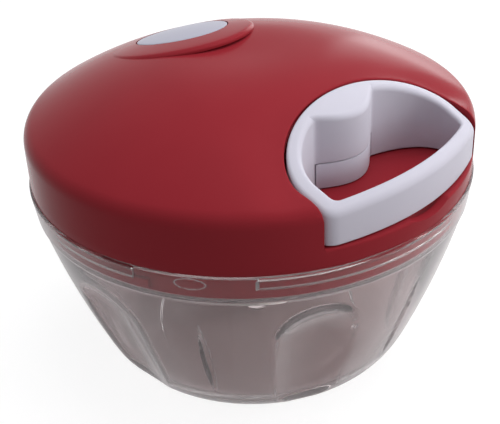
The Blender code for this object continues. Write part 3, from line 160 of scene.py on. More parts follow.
# Lid
LID_WALL = 2.0 * MM
SHOULDER_HEIGHT = 12.0 * MM
SHOULDER_WIDTH = 2.4 * MM
DOME_EDGE_RADIUS = 58.2 * MM
DOME_EDGE_HEIGHT = 15.6 * MM
DOME_RISE = 15.2 * MM
DOME_POWER = 2.3
PAD_DISTANCE = 26.9 * MM
PAD_ANGLE = math.radians(85.6)
PAD_SLOPE = 1.0 * MM
PAD_RISE = 0.4 * MM
PAD_TILT = 0.033
BADGE_DISTANCE = 28.1 * MM
BADGE_ANGLE = math.radians(83)
BADGE_THICKNESS = 1.6 * MM

# Pocket for the handle
POCKET_FLOOR = 60.3 * MM
POCKET_FLOOR_WALL = 2.8 * MM
POCKET_CLEARANCE = 0.55 * MM
POCKET_WALL = 1.6 * MM
NOTCH_WIDTH = 16.5 * MM
NOTCH_DEPTH = 1.8 * MM
NOTCH_REACH = 9.5 * MM
DIP_DEPTH = 1.3 * MM
DIP_WIDTH = 9.0 * MM
DIP_SCALE = 0.55
DIP_FADE = 2

# Handle
ARCH_CENTRE = 44.7 * MM
ARCH_HALF_WIDTH = 29.4 * MM
ARCH_REACH = 16.9 * MM
ARCH_SIDE_WALL = 4.2 * MM
ARCH_BACK_WALL = 3.0 * MM
CORNER_INSET = 0.3 * MM
BAR_FRONT = 57.7 * MM
BAR_BOW = 6.1 * MM
BAR_WALL = 3.2 * MM
BAR_INNER_BOW = 4.6 * MM
CORNER_ROUND = 1.8 * MM
CORNER_SPREAD = 1.5
INNER_CORNER_ROUND = 1.0 * MM
HANDLE_DROP = 1.2 * MM
BOSS_DEPTH = 6.4 * MM
BOSS_HALF_WIDTH = 11.0 * MM
BOSS_POWER = 1.1
WITHIN_ARCH = 0.96
ROUND_FADE = 0.35
KNOT_DISTANCE = 33.7 * MM

# Lid base
PLATE_BOTTOM = 55.5 * MM
PLATE_TOP = 57.0 * MM
SKIRT_RADIUS = 55.6 * MM
SKIRT_WALL = 1.6 * MM
HUB_HOLE = 9.3 * MM
COLLAR_WALL = 2.2 * MM
EDGE_ROUND = 0.35 * MM

# Screws under the base
POST_DISTANCE = 45.0 * MM
POST_ANGLES = [math.radians(angle) for angle in (35, 145, -22, -158)]
SCREW_RADIUS = 1.1 * MM
SCREW_HEAD_RADIUS = 2.6 * MM
SCREW_HEAD_HEIGHT = 1.3 * MM
SLOT_WIDTH = 0.7 * MM
SLOT_DEPTH = 0.6 * MM
SLOT_TURN = 3

# Blade unit
SHAFT_RADIUS = 6.6 * MM
SHAFT_SHOULDER = 8.2 * MM
SHAFT_SHOULDER_HEIGHT = 34.0 * MM
SHAFT_NECK = 5.4 * MM
SOCKET_RADIUS = 5.75 * MM
BLADE_NAMES = ("low", "middle", "high")
BLADE_HEIGHTS = [height * MM for height in (10.0, 20.5, 31.0)]
BLADE_ANGLES = [math.radians(angle) for angle in (-30, 90, 210)]
BLADE_LIFTS = [lift * MM for lift in (0.0, 3.0, 4.5)]
BLADE_REACH = 37.0 * MM
BLADE_ROOT = 4.0 * MM
BLADE_ROOT_WIDTH = 10.5 * MM
BLADE_TIP_WIDTH = 2.4 * MM
BLADE_TAPER = 1.6
BLADE_EDGE = 0.2 * MM
BLADE_GRIND_SHARE = 0.45

# Cord
CORD_RADIUS = 1.0 * MM
WOUND_RADIUS = 19.5 * MM
STRAND_PITCH = 5200.0
WOUND_STEPS = 10
RUN_STEPS = 12

# The photograph's view, fitted to the lid's and rim's outlines
VIEW_TURN = math.radians(-45.5)
VIEW_ELEVATION = 0.48426
VIEW_DISTANCE = 273.45 * MM
VIEW_AIM_HEIGHT = 54.7 * MM
VIEW_PAN = -0.002925
VIEW_TILT = -0.056192
VIEW_ROLL = -0.043997
VIEW_LENS = 72.0

# Stage
LAMP_AIM = (0, 0, 50 * MM)
FLOOR_REACH = 3.0

# Sizes that follow from the ones above
FLANK_TOP_HEIGHT = RIM_HEIGHT - BAND_HEIGHT - RIM_STEP
FLANK_TOP_RADIUS = RIM_RADIUS - BAND_TAPER - RIM_STEP
FLANK_LEAN = math.atan((FLANK_TOP_RADIUS - FLANK_FOOT_RADIUS) / (FLANK_TOP_HEIGHT - FLANK_FOOT_HEIGHT))
RIM_INNER = RIM_RADIUS - RIM_WALL
LEDGE_TOP = RIM_HEIGHT - LEDGE_TOP_DROP
LEDGE_BOTTOM = LEDGE_TOP - LEDGE_HEIGHT
SCOOP_PITCH = math.tau / SCOOP_COUNT
ENTRY_PITCH = math.tau / BAYONET_COUNT
POCKET_BACK = ARCH_CENTRE - ARCH_REACH - POCKET_CLEARANCE

# Columns and rows of the turned and bridged meshes
BOWL_STEPS = 480
BASE_STEPS = 240
LID_STEPS = 256
PAD_STEPS = 192
BADGE_STEPS = 160
NOTCH_STEPS = 160
ARCH_STEPS = 96
SHAFT_STEPS = 96
BAR_STEPS = 40
SCREW_STEPS = 40
BLADE_STEPS = 36
CORD_STEPS = 24
CORNER_STEPS = 8

# Widest spacing of the points along an outline
COARSE_SPACING = 4 * MM
LID_SPACING = 2.5 * MM
PAD_SPACING = 2 * MM
BADGE_SPACING = 1.5 * MM
POCKET_SPACING = 1.0 * MM
FLANK_SPACING = 0.65 * MM
INNER_FLANK_SPACING = 0.85 * MM
RIM_SPACING = 0.42 * MM

# Roundings of small edges, and the share of a side that one may take
SHAFT_ROUND = 0.7 * MM
FOOT_ROUND = 0.6 * MM
PAD_ROUND = 0.5 * MM
BOSS_ROUND = 0.4 * MM
SCREW_ROUND = 0.4 * MM
CAP_ROUND = 0.2 * MM
BLADE_ROUND = 0.06 * MM
CORNER_SHARE = 0.45

# Folds past which an edge is drawn sharp or is rounded
STEEP_FOLD = math.radians(50)
USUAL_FOLD = math.radians(38)
HANDLE_FOLD = math.radians(35)
SLIGHT_FOLD = math.radians(12)


def length(name, description, millimetres):
    return FloatProperty(name=name, description=description, default=millimetres * MM, unit="LENGTH")


def colour(name, description, default):
    return FloatVectorProperty(name=name, description=description, default=default, subtype="COLOR", size=3)


class BowlSizes(bpy.types.PropertyGroup):
    """Sizes of the clear bowl."""

    wall: length("Wall", "Thickness of the flank", 2.0)
    scoop_top: length("Scoop top", "Height of the scoops' crowns", 42.0)
    scoop_half_width: length("Scoop half width", "Half the width of a pressed scoop", 12.0)
    scoop_depth: length("Scoop depth", "Depth of a scoop at its middle", 3.2)
    flute_half_length: length("Flute half length", "Half the length of a narrow flute", 17.5)
    flute_depth: length("Flute depth", "Depth of a narrow flute", 1.3)


class LidSizes(bpy.types.PropertyGroup):
    """Sizes of the lid's visible details."""

    pad_radius: length("Pad radius", "Radius of the raised pad", 20.3)
    badge_radius: length("Badge radius", "Radius of the inlay", 12.7)
    mouth_round: length("Pocket edge", "Rounding of the pocket's upper edge", 0.3)
    sill_round: length("Sill edge", "Rounding of the pocket's front edge", 0.9)


class HandleSizes(bpy.types.PropertyGroup):
    """Roundings of the handle."""

    edge_round: length("Top edge", "Rounding of the handle's upper edges", 1.4)
    arch_round: length("Arch edge", "Rounding of the arch's outer edge", 0.7)
    foot_round: length("Foot edge", "Rounding of the handle's lower edges", 0.5)


class BladeSizes(bpy.types.PropertyGroup):
    """Sizes of the blades."""

    sweep: length("Sweep", "How far a tip trails", 9.0)
    thickness: length("Thickness", "Thickness of the steel", 1.0)
    grind: length("Grind", "Width of the ground edge", 3.0)


class ChopperColours(bpy.types.PropertyGroup):
    """Colours of the finishes."""

    # The lid's two reds are the plastic's own colour with a painted sheen mixed in: their green and blue are raised a
    # little to stand in for the reflections that the low specular leaves out.
    lid: colour("Lid", "Red plastic of the lid", (0.290, 0.023, 0.032))
    lid_shade: colour("Lid shade", "Darker clouds in the red plastic", (0.255, 0.018, 0.026))
    handle: colour("Handle", "White plastic of the handle", (0.600, 0.590, 0.665))
    badge: colour("Badge", "Inlay on the pad", (0.430, 0.430, 0.510))
    bowl: colour("Bowl", "Tint of the clear plastic", (0.905, 0.870, 0.870))
    # The haze colour also paints the highlight lines on the bowl's lips and marks.
    haze: colour("Haze", "Milky haze in the clear plastic", (0.600, 0.570, 0.580))
    natural: colour("Natural", "Undyed plastic of the shaft and spool", (0.700, 0.690, 0.660))
    steel: colour("Steel", "Stainless steel", (0.620, 0.620, 0.630))
    cord: colour("Cord", "Braided cord", (0.740, 0.740, 0.760))


def math_node(operation, turned_round=False):
    """A method that adds a Math node, fed with the number and what is given, or the other way round."""

    def combine(self, other=None):
        inputs = [self] if other is None else [other, self] if turned_round else [self, other]
        return self.tree.number("ShaderNodeMath", "Value", {"operation": operation}, dict(enumerate(inputs)))

    return combine


class Number:
    """A number that varies over a surface. Arithmetic on it adds Math nodes to its tree."""

    def __init__(self, tree, socket):
        self.tree = tree
        self.socket = socket

    __add__ = __radd__ = math_node("ADD")
    __sub__ = math_node("SUBTRACT")
    __rsub__ = math_node("SUBTRACT", True)
    __mul__ = __rmul__ = math_node("MULTIPLY")
    __truediv__ = math_node("DIVIDE")
    __pow__ = math_node("POWER")
    over = math_node("GREATER_THAN")
    under = math_node("LESS_THAN")
    at_least = math_node("MAXIMUM")
    bearing = math_node("ARCTAN2")
    sine = math_node("SINE")
    absolute = math_node("ABSOLUTE")
    fraction = math_node("FRACT")


class Finish:
    """A procedural material: its shader nodes, added by type and linked through their sockets."""

    def __init__(self, name, tree=None):
        self.material = None
        if tree is None:
            self.material = bpy.data.materials.new(name)
            self.material.use_nodes = True
            tree = self.material.node_tree
        self.nodes = tree.nodes
        self.links = tree.links
        self.nodes.clear()
        self.place = None

    def add(self, kind, settings=None, inputs=None):
        """Adds a node, sets its settings first, and then fills or links its sockets."""
        node = with_settings(self.nodes.new(kind), **(settings or {}))
        for key, value in (inputs or {}).items():
            self.feed(node.inputs[key], value)
        return node

    def feed(self, socket, value):
        if isinstance(value, Number):
            value = value.socket
        if isinstance(value, bpy.types.NodeSocket):
            self.links.new(value, socket)
        elif hasattr(value, "__len__") and len(value) == 3 and socket.type == "RGBA":
            socket.default_value = (*value, 1.0)
        else:
            socket.default_value = value

    def number(self, kind, output, settings=None, inputs=None):
        return Number(self, self.add(kind, settings, inputs).outputs[output])

    def where(self):
        """The object's own coordinates, in metres."""
        if self.place is None:
            self.place = self.add("ShaderNodeTexCoord").outputs["Object"]
        return self.place

    def axes(self, vector):
        """The three numbers of a vector."""
        parts = self.add("ShaderNodeSeparateXYZ", None, {"Vector": vector})
        return [Number(self, parts.outputs[axis]) for axis in "XYZ"]

    def noise(self, size, detail=2.0, place=None):
        """Clouds whose lumps are about as wide as size, between 0 and 1."""
        inputs = {"Vector": place or self.where(), "Scale": 1 / size, "Detail": detail}
        return self.number("ShaderNodeTexNoise", "Fac", None, inputs)

    def specks(self, spacing, radius, share):
        """A mask of sparse round dots: this share of the cells of the given spacing holds one."""
        cells = self.add("ShaderNodeTexVoronoi", None, {"Vector": self.where(), "Scale": 1 / spacing})
        chance = self.number("ShaderNodeSeparateColor", "Red", None, {"Color": cells.outputs["Color"]})
        near = Number(self, cells.outputs["Distance"]).under(radius / spacing)
        return near * chance.under(share)

    def mix(self, factor, first, second):
        """A colour between two, or the second where the factor is 1."""
        node = self.add("ShaderNodeMix", {"data_type": "RGBA"})
        colours = [socket for socket in node.inputs if socket.type == "RGBA"]
        for socket, value in ((node.inputs["Factor"], factor), (colours[0], first), (colours[1], second)):
            self.feed(socket, value)
        return next(socket for socket in node.outputs if socket.type == "RGBA")

    def bump(self, height, depth, strength=1.0, normal=None):
        inputs = {"Height": height, "Distance": depth, "Strength": strength}
        if normal is not None:
            inputs["Normal"] = normal
        return self.add("ShaderNodeBump", None, inputs).outputs["Normal"]

    def shader(self, kind, inputs):
        return self.add(kind, None, inputs).outputs[0]

    def principled(self, inputs):
        return self.shader("ShaderNodeBsdfPrincipled", inputs)

    def diffuse(self, shade):
        return self.shader("ShaderNodeBsdfDiffuse", {"Color": shade})

    def choose(self, factor, first, second):
        """A shader between two, or the second where the factor is 1."""
        return self.shader("ShaderNodeMixShader", {"Fac": factor, 1: first, 2: second})

    def close(self, shader):
        self.add("ShaderNodeOutputMaterial", None, {"Surface": shader})
        return self.material


def with_settings(item, **settings):
    """Sets an item's attributes and returns it."""
    for key, value in settings.items():
        setattr(item, key, value)
    return item


def palette():
    return bpy.context.scene.chopper_colours


def darker(shade, share):
    return [value * share for value in shade]


def moulded(finish, base, shade, roughness, grain):
    """Sockets shared by moulded plastics: cloudy colour, uneven gloss and a fine mould texture."""
    clouds = finish.noise(22 * MM, 3.0)
    fine = finish.noise(grain, 1.0)
    waves = finish.noise(9 * MM, 1.0)
    surface = finish.bump(fine, 0.008 * MM, 0.15)
    return {
        "Base Color": finish.mix(clouds, shade, base),
        "Roughness": roughness + (clouds - 0.5) * 0.08 + (fine - 0.5) * 0.03,
        "Normal": finish.bump(waves, 0.05 * MM, 0.20, surface),
        "Specular IOR Level": 0.04,
    }


def moulded_plastic(name, base, shade, roughness, grain, depth=None):
    """A plain moulded plastic, with the light that sinks into it where a depth is given."""
    finish = Finish(name)
    sockets = moulded(finish, base, shade, roughness, grain)
    return finish.close(finish.principled({**sockets, **(depth or {})}))


def red_plastic(name):
    finish = Finish(name)
    sockets = moulded(finish, palette().lid, palette().lid_shade, 0.22, 0.5 * MM)
    dust = finish.specks(7 * MM, 0.16 * MM, 0.10)
    sockets["Base Color"] = finish.mix(dust * 0.8, sockets["Base Color"], (0.72, 0.66, 0.64))
    return finish.close(finish.principled(sockets))


def white_plastic(name):
    base = palette().handle
    depth = {"Subsurface Weight": 0.12, "Subsurface Radius": (1.0, 0.9, 0.9), "Subsurface Scale": 1.5 * MM}
    return moulded_plastic(name, base, darker(base, 0.93), 0.36, 0.4 * MM, depth)


def badge_plastic(name):
    base = palette().badge
    return moulded_plastic(name, base, darker(base, 0.95), 0.30, 0.4 * MM)


def natural_plastic(name):
    base = palette().natural
    depth = {"Subsurface Weight": 0.10, "Subsurface Scale": 1.5 * MM}
    return moulded_plastic(name, base, darker(base, 0.92), 0.42, 0.5 * MM, depth)


def black_plastic(name):
    return moulded_plastic(name, (0.035, 0.035, 0.038), (0.022, 0.022, 0.024), 0.45, 0.5 * MM)


def mark_edge_highlight(finish):
    """Where the thin edges of the oval marks by the bayonet's entries run on the bowl's band: a mask for a painted
    highlight of milky haze.
    """
    x, y, z = finish.axes(finish.where())
    turns = (y.bearing(x) - ENTRY_ANGLE) / ENTRY_PITCH + 0.5
    away = (turns.fraction() - 0.5) * ENTRY_PITCH
    across = away * (2 * RIM_RADIUS / MARK_WIDTH)
    up = (z - (RIM_HEIGHT - MARK_DROP)) * (2 / MARK_HEIGHT)
    oval = (across * across + up * up) ** 0.5
    outside = ((x * x + y * y) ** 0.5).over(RIM_RADIUS - RIM_WALL / 2)
    return (1 - (oval - 1).absolute() * MARK_STEEPNESS).at_least(0.0) * outside


def clear_plastic(name):
    """Clear plastic that hazes over at a slant, carries painted highlights of milky haze along its pressed lips and the
    marks' edges, and lets light through to what it holds.
    """
    finish = Finish(name)
    waves = finish.noise(14 * MM, 2.0)
    surface = finish.bump(waves, 0.08 * MM, 0.30)
    glass = {
        "Base Color": palette().bowl,
        "Roughness": 0.01 + waves * 0.02,
        "IOR": 1.33,
        "Specular IOR Level": 0.08,
        "Transmission Weight": 1.0,
        "Normal": surface,
    }
    haze = {
        "Base Color": palette().haze,
        "Roughness": 0.30 + waves * 0.1,
        "Specular IOR Level": 0.04,
        "Normal": surface,
    }
    slant = finish.number("ShaderNodeLayerWeight", "Facing", None, {"Blend": 0.5})
    # Painted highlight: milky haze along the pressed lips stands in for the light lines that their edges catch.
    lip_highlight = finish.number("ShaderNodeAttribute", "Fac", {"attribute_name": "lip_highlight"})
    # Painted highlight: milky haze on the oval marks' edges stands in for their light edge lines.
    haze_and_painted_highlights = 0.01 + slant**3 * 0.80 + (waves - 0.5) * 0.02 + lip_highlight * 0.35 + mark_edge_highlight(finish) * 0.45
    mixed = finish.choose(haze_and_painted_highlights, finish.principled(glass), finish.principled(haze))
    shadow = finish.add("ShaderNodeLightPath").outputs["Is Shadow Ray"]
    passed = finish.shader("ShaderNodeBsdfTransparent", {"Color": (0.91, 0.90, 0.90)})
    return finish.close(finish.choose(shadow, mixed, passed))


def polished_steel(name):
    """Stainless steel with a fine grain along X."""
    finish = Finish(name)
    stretched = {"Vector": finish.where(), "Rotation": (0, 0, 0), "Scale": (0.04, 1.0, 1.0)}
    grain = finish.noise(0.25 * MM, 2.0, finish.add("ShaderNodeMapping", None, stretched).outputs["Vector"])
    clouds = finish.noise(6 * MM, 2.0)
    sockets = {
        "Base Color": finish.mix(clouds, darker(palette().steel, 0.80), palette().steel),
        "Metallic": 1.0,
        "Roughness": 0.17 + grain * 0.12 + clouds * 0.06,
        "Normal": finish.bump(grain, 0.006 * MM, 0.5),
    }
    return finish.close(finish.principled(sockets))


def braided_cord(name):
    """White braid: two sets of slanting strands that cross round the cord."""
    finish = Finish(name)
    x, y, z = finish.axes(finish.where())
    strands = ((y + x + z) * STRAND_PITCH).sine() * ((y - x - z) * STRAND_PITCH).sine()
    mask = strands * 0.5 + 0.5
    sockets = {
        "Base Color": finish.mix(mask, darker(palette().cord, 0.62), palette().cord),
        "Roughness": 0.85 - mask * 0.1,
        "Normal": finish.bump(mask, 0.12 * MM, 0.8),
    }
    return finish.close(finish.principled(sockets))


FINISHES = {
    "clear": ("clear plastic", clear_plastic),
    "red": ("red plastic", red_plastic),
    "white": ("white plastic", white_plastic),
    "badge": ("badge plastic", badge_plastic),
    "natural": ("natural plastic", natural_plastic),
    "black": ("black plastic", black_plastic),
    "steel": ("polished steel", polished_steel),
    "cord": ("braided cord", braided_cord),
}


def finish_for(slot):
    """The material of a slot, built when it is first asked for."""
    name, build = FINISHES[slot]
    return bpy.data.materials.get(name) or build(name)


# Shaping


def clamp(value):
    return min(max(value, 0.0), 1.0)


def polar(radius, angle, height=0.0):
    return Vector((radius * math.cos(angle), radius * math.sin(angle), height))


def bend(start, control, end, steps):
    """Points of a smooth bend from start to end that heads for control, both ends included."""
    start, control, end = Vector(start), Vector(control), Vector(end)
    points = []
    for step in range(steps + 1):
        t = step / steps
        points.append((1 - t) ** 2 * start + 2 * t * (1 - t) * control + t * t * end)
    return points


def rounded(points, radius, steps=3):
    """An open outline whose inner corners are bends, each no larger than its sides allow."""
    result = [Vector(points[0])]
    for before, corner, after in zip(points, points[1:], points[2:]):
        corner = Vector(corner)
        back, ahead = Vector(before) - corner, Vector(after) - corner
        reach = min(radius, back.length * CORNER_SHARE, ahead.length * CORNER_SHARE)
        result += bend(corner + back.normalized() * reach, corner, corner + ahead.normalized() * reach, steps)
    return result + [Vector(points[-1])]


def dense(points, spacing):
    """The same outline with points added, so that none is further than spacing from the next."""
    result = [Vector(points[0])]
    for start, end in zip(points, points[1:]):
        start, end = Vector(start), Vector(end)
        count = max(1, math.ceil((end - start).length / spacing))
        result += [start.lerp(end, step / count) for step in range(1, count + 1)]
    return result


def mirrored(points):
    """An outline's other half, from its end back to its start."""
    return [Vector((-point.x, point.y)) for point in reversed(points)]


def turn_outline(shape, outline, steps, start=0.0, angle=math.tau):
    """Turns an outline of (radius, height) points about Z, closing one that leaves the axis into a ring."""
    whole = angle == math.tau
    corners = [shape.verts.new(polar(point[0], start, point[1])) for point in outline]
    edges = [shape.edges.new(pair) for pair in zip(corners, corners[1:])]
    if outline[0][0] > MERGE and outline[-1][0] > MERGE:
        edges.append(shape.edges.new((corners[-1], corners[0])))
    turned = corners + edges if whole else bmesh.ops.contextual_create(shape, geom=edges)["faces"]
    middle, up = (0, 0, 0), (0, 0, 1)
    bmesh.ops.spin(shape, geom=turned, cent=middle, axis=up, angle=angle, steps=steps, use_merge=whole)


def to_mesh(name, shape):
    """Turns a bmesh into a clean smooth mesh whose faces point out."""
    bmesh.ops.remove_doubles(shape, verts=shape.verts, dist=MERGE)
    bmesh.ops.recalc_face_normals(shape, faces=shape.faces)
    mesh = bpy.data.meshes.new(name)
    shape.to_mesh(mesh)
    shape.free()
    return smoothed(mesh)


def smoothed(mesh):
    mesh.shade_smooth()
    mesh.set_sharp_from_angle(angle=USUAL_FOLD)
    return mesh


def turned_mesh(name, outline, steps, start=0.0, angle=math.tau):
    shape = bmesh.new()
    turn_outline(shape, outline, steps, start, angle)
    return to_mesh(name, shape)


def raise_faces(shape, faces):
    """Extrudes faces and returns the new vertices."""
    raised = bmesh.ops.extrude_face_region(shape, geom=faces)["geom"]
    return [item for item in raised if isinstance(item, bmesh.types.BMVert)]


def prism(outline, low, high):
    shape = bmesh.new()
    face = shape.faces.new([shape.verts.new((x, y, low)) for x, y in outline])
    bmesh.ops.translate(shape, verts=raise_faces(shape, [face]), vec=(0, 0, high - low))
    return shape


def closed_ring(shape, points):
    """The edges of a closed ring through points."""
    corners = [shape.verts.new(point) for point in points]
    return [shape.edges.new((corners[index - 1], corner)) for index, corner in enumerate(corners)]


def bridged_mesh(name, rings):
    """A closed solid through rings of equal count, each bridged to the next, with its ends filled."""
    shape = bmesh.new()
    loops = [closed_ring(shape, ring) for ring in rings]
    for lower, upper in zip(loops, loops[1:]):
        bmesh.ops.bridge_loops(shape, edges=lower + upper)
    bmesh.ops.holes_fill(shape, edges=loops[0] + loops[-1])
    return to_mesh(name, shape)


def link_object(name, data):
    item = bpy.data.objects.new(name, data)
    bpy.context.scene.collection.objects.link(item)
    return item


def applied(target, *helpers):
    """An object's mesh with its modifiers applied. The object and its helpers are removed."""
    graph = bpy.context.evaluated_depsgraph_get()
    result = bpy.data.meshes.new_from_object(target.evaluated_get(graph))
    for item in (target, *helpers):
        bpy.data.objects.remove(item, do_unlink=True)
    return result


def carve(mesh, *steps):
    """Applies unions and differences to a mesh, one helper mesh at a time, and returns the result."""
    target = link_object("carving", mesh)
    helpers = [link_object("helper", helper_mesh) for operation, helper_mesh in steps]
    for (operation, helper_mesh), helper in zip(steps, helpers):
        modifier = target.modifiers.new("carve", "BOOLEAN")
        with_settings(modifier, operation=operation, solver="EXACT", object=helper)
    return smoothed(applied(target, *helpers))


def soften(mesh, width):
    """Rounds the edges of a mesh that carry a bevel weight, as wide as their weight says."""
    target = link_object("softening", mesh)
    edges = target.modifiers.new("round edges", "BEVEL")
    with_settings(edges, width=width, segments=6, limit_method="WEIGHT", use_clamp_overlap=False)
    return applied(target)


def add_piece(name, mesh, slot, node, body=None):
    """Adds a finished piece that stands for a CAD node and rides on a body, where one is given."""
    mesh.name = name
    mesh.materials.clear()
    mesh.materials.append(finish_for(slot))
    piece = link_object(name, mesh)
    if body:
        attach(piece, body)
    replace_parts(piece, node)
    return piece


# Curves that pieces share


def dome_curve(radius):
    """Height of the dome's curve, which runs on past the dome's edge."""
    return RIM_HEIGHT + DOME_EDGE_HEIGHT + DOME_RISE * (1 - (radius / DOME_EDGE_RADIUS) ** DOME_POWER)


def dome_height(radius):
    return dome_curve(min(radius, DOME_EDGE_RADIUS))


def shoulder(wall_radius, shift, steps):
    """The rounded shoulder between the dome and the wall, from the dome outwards."""
    inner = wall_radius - SHOULDER_WIDTH
    high = (inner, dome_height(inner) + shift)
    slope = DOME_RISE * DOME_POWER / DOME_EDGE_RADIUS
    control = (wall_radius, high[1] - slope * SHOULDER_WIDTH)
    return bend(high, control, (wall_radius, RIM_HEIGHT + SHOULDER_HEIGHT + shift), steps)


def dome_and_shoulder(wall_radius, shift, rings, shoulder_steps):
    """A dome's section from its middle out, down to the foot of its shoulder."""
    inner = wall_radius - SHOULDER_WIDTH
    radii = [inner * ring / rings for ring in range(rings)]
    rows = [Vector((radius, dome_height(radius) + shift)) for radius in radii]
    return rows + shoulder(wall_radius, shift, shoulder_steps)


def pad_lift(point):
    """How much higher the pad lies towards the lid's middle than at the badge."""
    return PAD_TILT * (PAD_DISTANCE - point.y)


def crowned_disc(name, centre, outline, steps):
    """A disc turned from an outline whose heights are above the dome, laid on the dome with the pad's tilt."""
    mesh = turned_mesh(name, outline, steps)
    mesh.transform(Matrix.Translation(centre))
    for vertex in mesh.vertices:
        vertex.co.z += dome_height(vertex.co.xy.length) + pad_lift(vertex.co)
    return mesh


def handle_dip(point):
    """How far the dome sinks towards the handle's arch, so that the two lie flush behind it."""
    across = point.x / (ARCH_HALF_WIDTH + POCKET_CLEARANCE)
    along = (point.y + ARCH_CENTRE) / (ARCH_REACH + POCKET_CLEARANCE)
    ring = math.hypot(across, max(along, 0.0))
    away = max(ring - 1, 0.0) * point.xy.length / max(ring, 1.0) * DIP_SCALE
    share = max(1 - away / DIP_WIDTH, 0.0)
    reach = clamp(along * DIP_FADE + 0.5)
    return DIP_DEPTH * share * share * (3 - 2 * share) * reach * reach * (3 - 2 * reach)


def lid_top(point):
    """Height of the lid's outer surface over a point of its plan, over the shoulder too."""
    radius = point.xy.length
    edge = shoulder(LID_RADIUS, 0.0, 24)
    height = dome_height(radius) if radius <= edge[0].x else edge[-1].y
    for first, second in zip(edge, edge[1:]):
        if first.x < radius <= second.x:
            height = first.lerp(second, (radius - first.x) / (second.x - first.x)).y
    return height - handle_dip(point)


def arch_point(angle, grow):
    """A point of the handle's arch in plan, grown on all sides."""
    y = -ARCH_CENTRE + (ARCH_REACH + grow) * math.sin(angle)
    return Vector(((ARCH_HALF_WIDTH + grow) * math.cos(angle), y))


def arch_inner_y(x):
    share = x / (ARCH_HALF_WIDTH - ARCH_SIDE_WALL)
    return -ARCH_CENTRE + (ARCH_REACH - ARCH_BACK_WALL) * math.sqrt(1 - share * share)


def across_boss(wide, steps):
    return [wide * (1 - 2 * step / steps) for step in range(steps + 1)]


def boss_reach(x):
    """How far the cord boss stands in from the arch."""
    share = min(abs(x) / BOSS_HALF_WIDTH, 1.0)
    return BOSS_DEPTH * (1 - share * share) ** BOSS_POWER


# Bowl


def flank_radius(height):
    share = (height - FLANK_FOOT_HEIGHT) / (FLANK_TOP_HEIGHT - FLANK_FOOT_HEIGHT)
    straight = FLANK_FOOT_RADIUS + (FLANK_TOP_RADIUS - FLANK_FOOT_RADIUS) * share
    return straight + FLANK_BULGE * 4 * share * (1 - share)


def flank_rows(inset, spacing):
    """Rows of the flank from its foot up, moved in by the wall for the inner face, which thins towards the rim."""
    count = math.ceil((FLANK_TOP_HEIGHT - FLANK_FOOT_HEIGHT) / spacing)
    rows = []
    for step in range(count + 1):
        share = step / count
        height = FLANK_FOOT_HEIGHT + (FLANK_TOP_HEIGHT - FLANK_FOOT_HEIGHT) * share
        thinning = max(inset - THIN_WALL, 0.0) * share**3
        rows.append(Vector((flank_radius(height) - inset + thinning, height)))
    return rows


def foot_bend(rows, end_radius, end_height, steps):
    """The rounded foot below the lowest flank row, from the foot outwards."""
    slope = (rows[1].x - rows[0].x) / (rows[1].y - rows[0].y)
    control = (rows[0].x - slope * (rows[0].y - end_height), end_height)
    return bend((end_radius, end_height), control, rows[0], steps)[:-1]


def bowl_profile(wall):
    """The bowl's section: up its outer face, over the rim and down inside to the pin boss."""
    ring_inner = FOOT_RADIUS - FOOT_RING_WIDTH
    outer = flank_rows(0.0, FLANK_SPACING)
    inner = flank_rows(wall, INNER_FLANK_SPACING)
    band_low = RIM_HEIGHT - BAND_HEIGHT
    ledge_inner = RIM_INNER - LEDGE_DEPTH
    underside = [(0.0, FOOT_RECESS), (ring_inner - FOOT_RECESS, FOOT_RECESS), (ring_inner, 0.0), (FOOT_RADIUS, 0.0)]
    profile = dense(rounded(underside, FOOT_ROUND), COARSE_SPACING)[:-1]
    profile += foot_bend(outer, FOOT_RADIUS, 0.0, 12) + outer
    rim = [profile[-1], (RIM_RADIUS - BAND_TAPER, band_low), (RIM_RADIUS, RIM_HEIGHT), (RIM_INNER, RIM_HEIGHT)]
    rim += [(RIM_INNER, LEDGE_TOP), (ledge_inner, LEDGE_TOP), (ledge_inner, LEDGE_BOTTOM), (RIM_INNER, LEDGE_BOTTOM)]
    rim += [(RIM_INNER, band_low + 2 * RIM_WALL / 3), inner[-1]]
    profile += dense(rounded(rim, EDGE_ROUND, 2), RIM_SPACING)[1:-1]
    boss = [(FOOT_RADIUS - wall, FLOOR_TOP), (BOSS_RADIUS, FLOOR_TOP), (BOSS_RADIUS, BOSS_TOP)]
    boss += [(PIN_HOLE_RADIUS, BOSS_TOP), (PIN_HOLE_RADIUS, FLOOR_TOP), (0.0, FLOOR_TOP)]
    profile += list(reversed(inner)) + list(reversed(foot_bend(inner, FOOT_RADIUS - wall, FLOOR_TOP, 9)))
    return profile + dense(rounded(boss, BOSS_ROUND), COARSE_SPACING)[1:]


def soft_push(push):
    """Keeps a push into the wall only where it is positive, with a rounded start."""
    share = clamp(0.5 + 0.5 * push / PRESS_ROUND)
    return push * share + PRESS_ROUND * share * (1 - share) / 2


def bar_depth(point, angle, centre_height, radius_at, cutter_shift):
    """How deep a point lies inside a round bar laid along the flank, along the flank's normal."""
    local = Matrix.Rotation(-angle, 3, "Z") @ point
    if local.x <= 0:
        return -FOOT_RADIUS
    along_flank = Vector((math.sin(FLANK_LEAN), 0, math.cos(FLANK_LEAN)))
    outward = Vector((math.cos(FLANK_LEAN), 0, -math.sin(FLANK_LEAN)))
    centre = Vector((flank_radius(centre_height), 0, centre_height)) + outward * cutter_shift
    offset = local - centre
    radius = radius_at(offset.dot(along_flank))
    reach = radius * radius - local.y * local.y
    if reach <= 0:
        return -FOOT_RADIUS
    return offset.dot(outward) + math.sqrt(reach)


def shift_inward(point, push):
    """Moves a point in along the flank's normal."""
    away = Vector((point.x, point.y, 0)).normalized() * math.cos(FLANK_LEAN)
    return point - push * (away - Vector((0, 0, math.sin(FLANK_LEAN))))


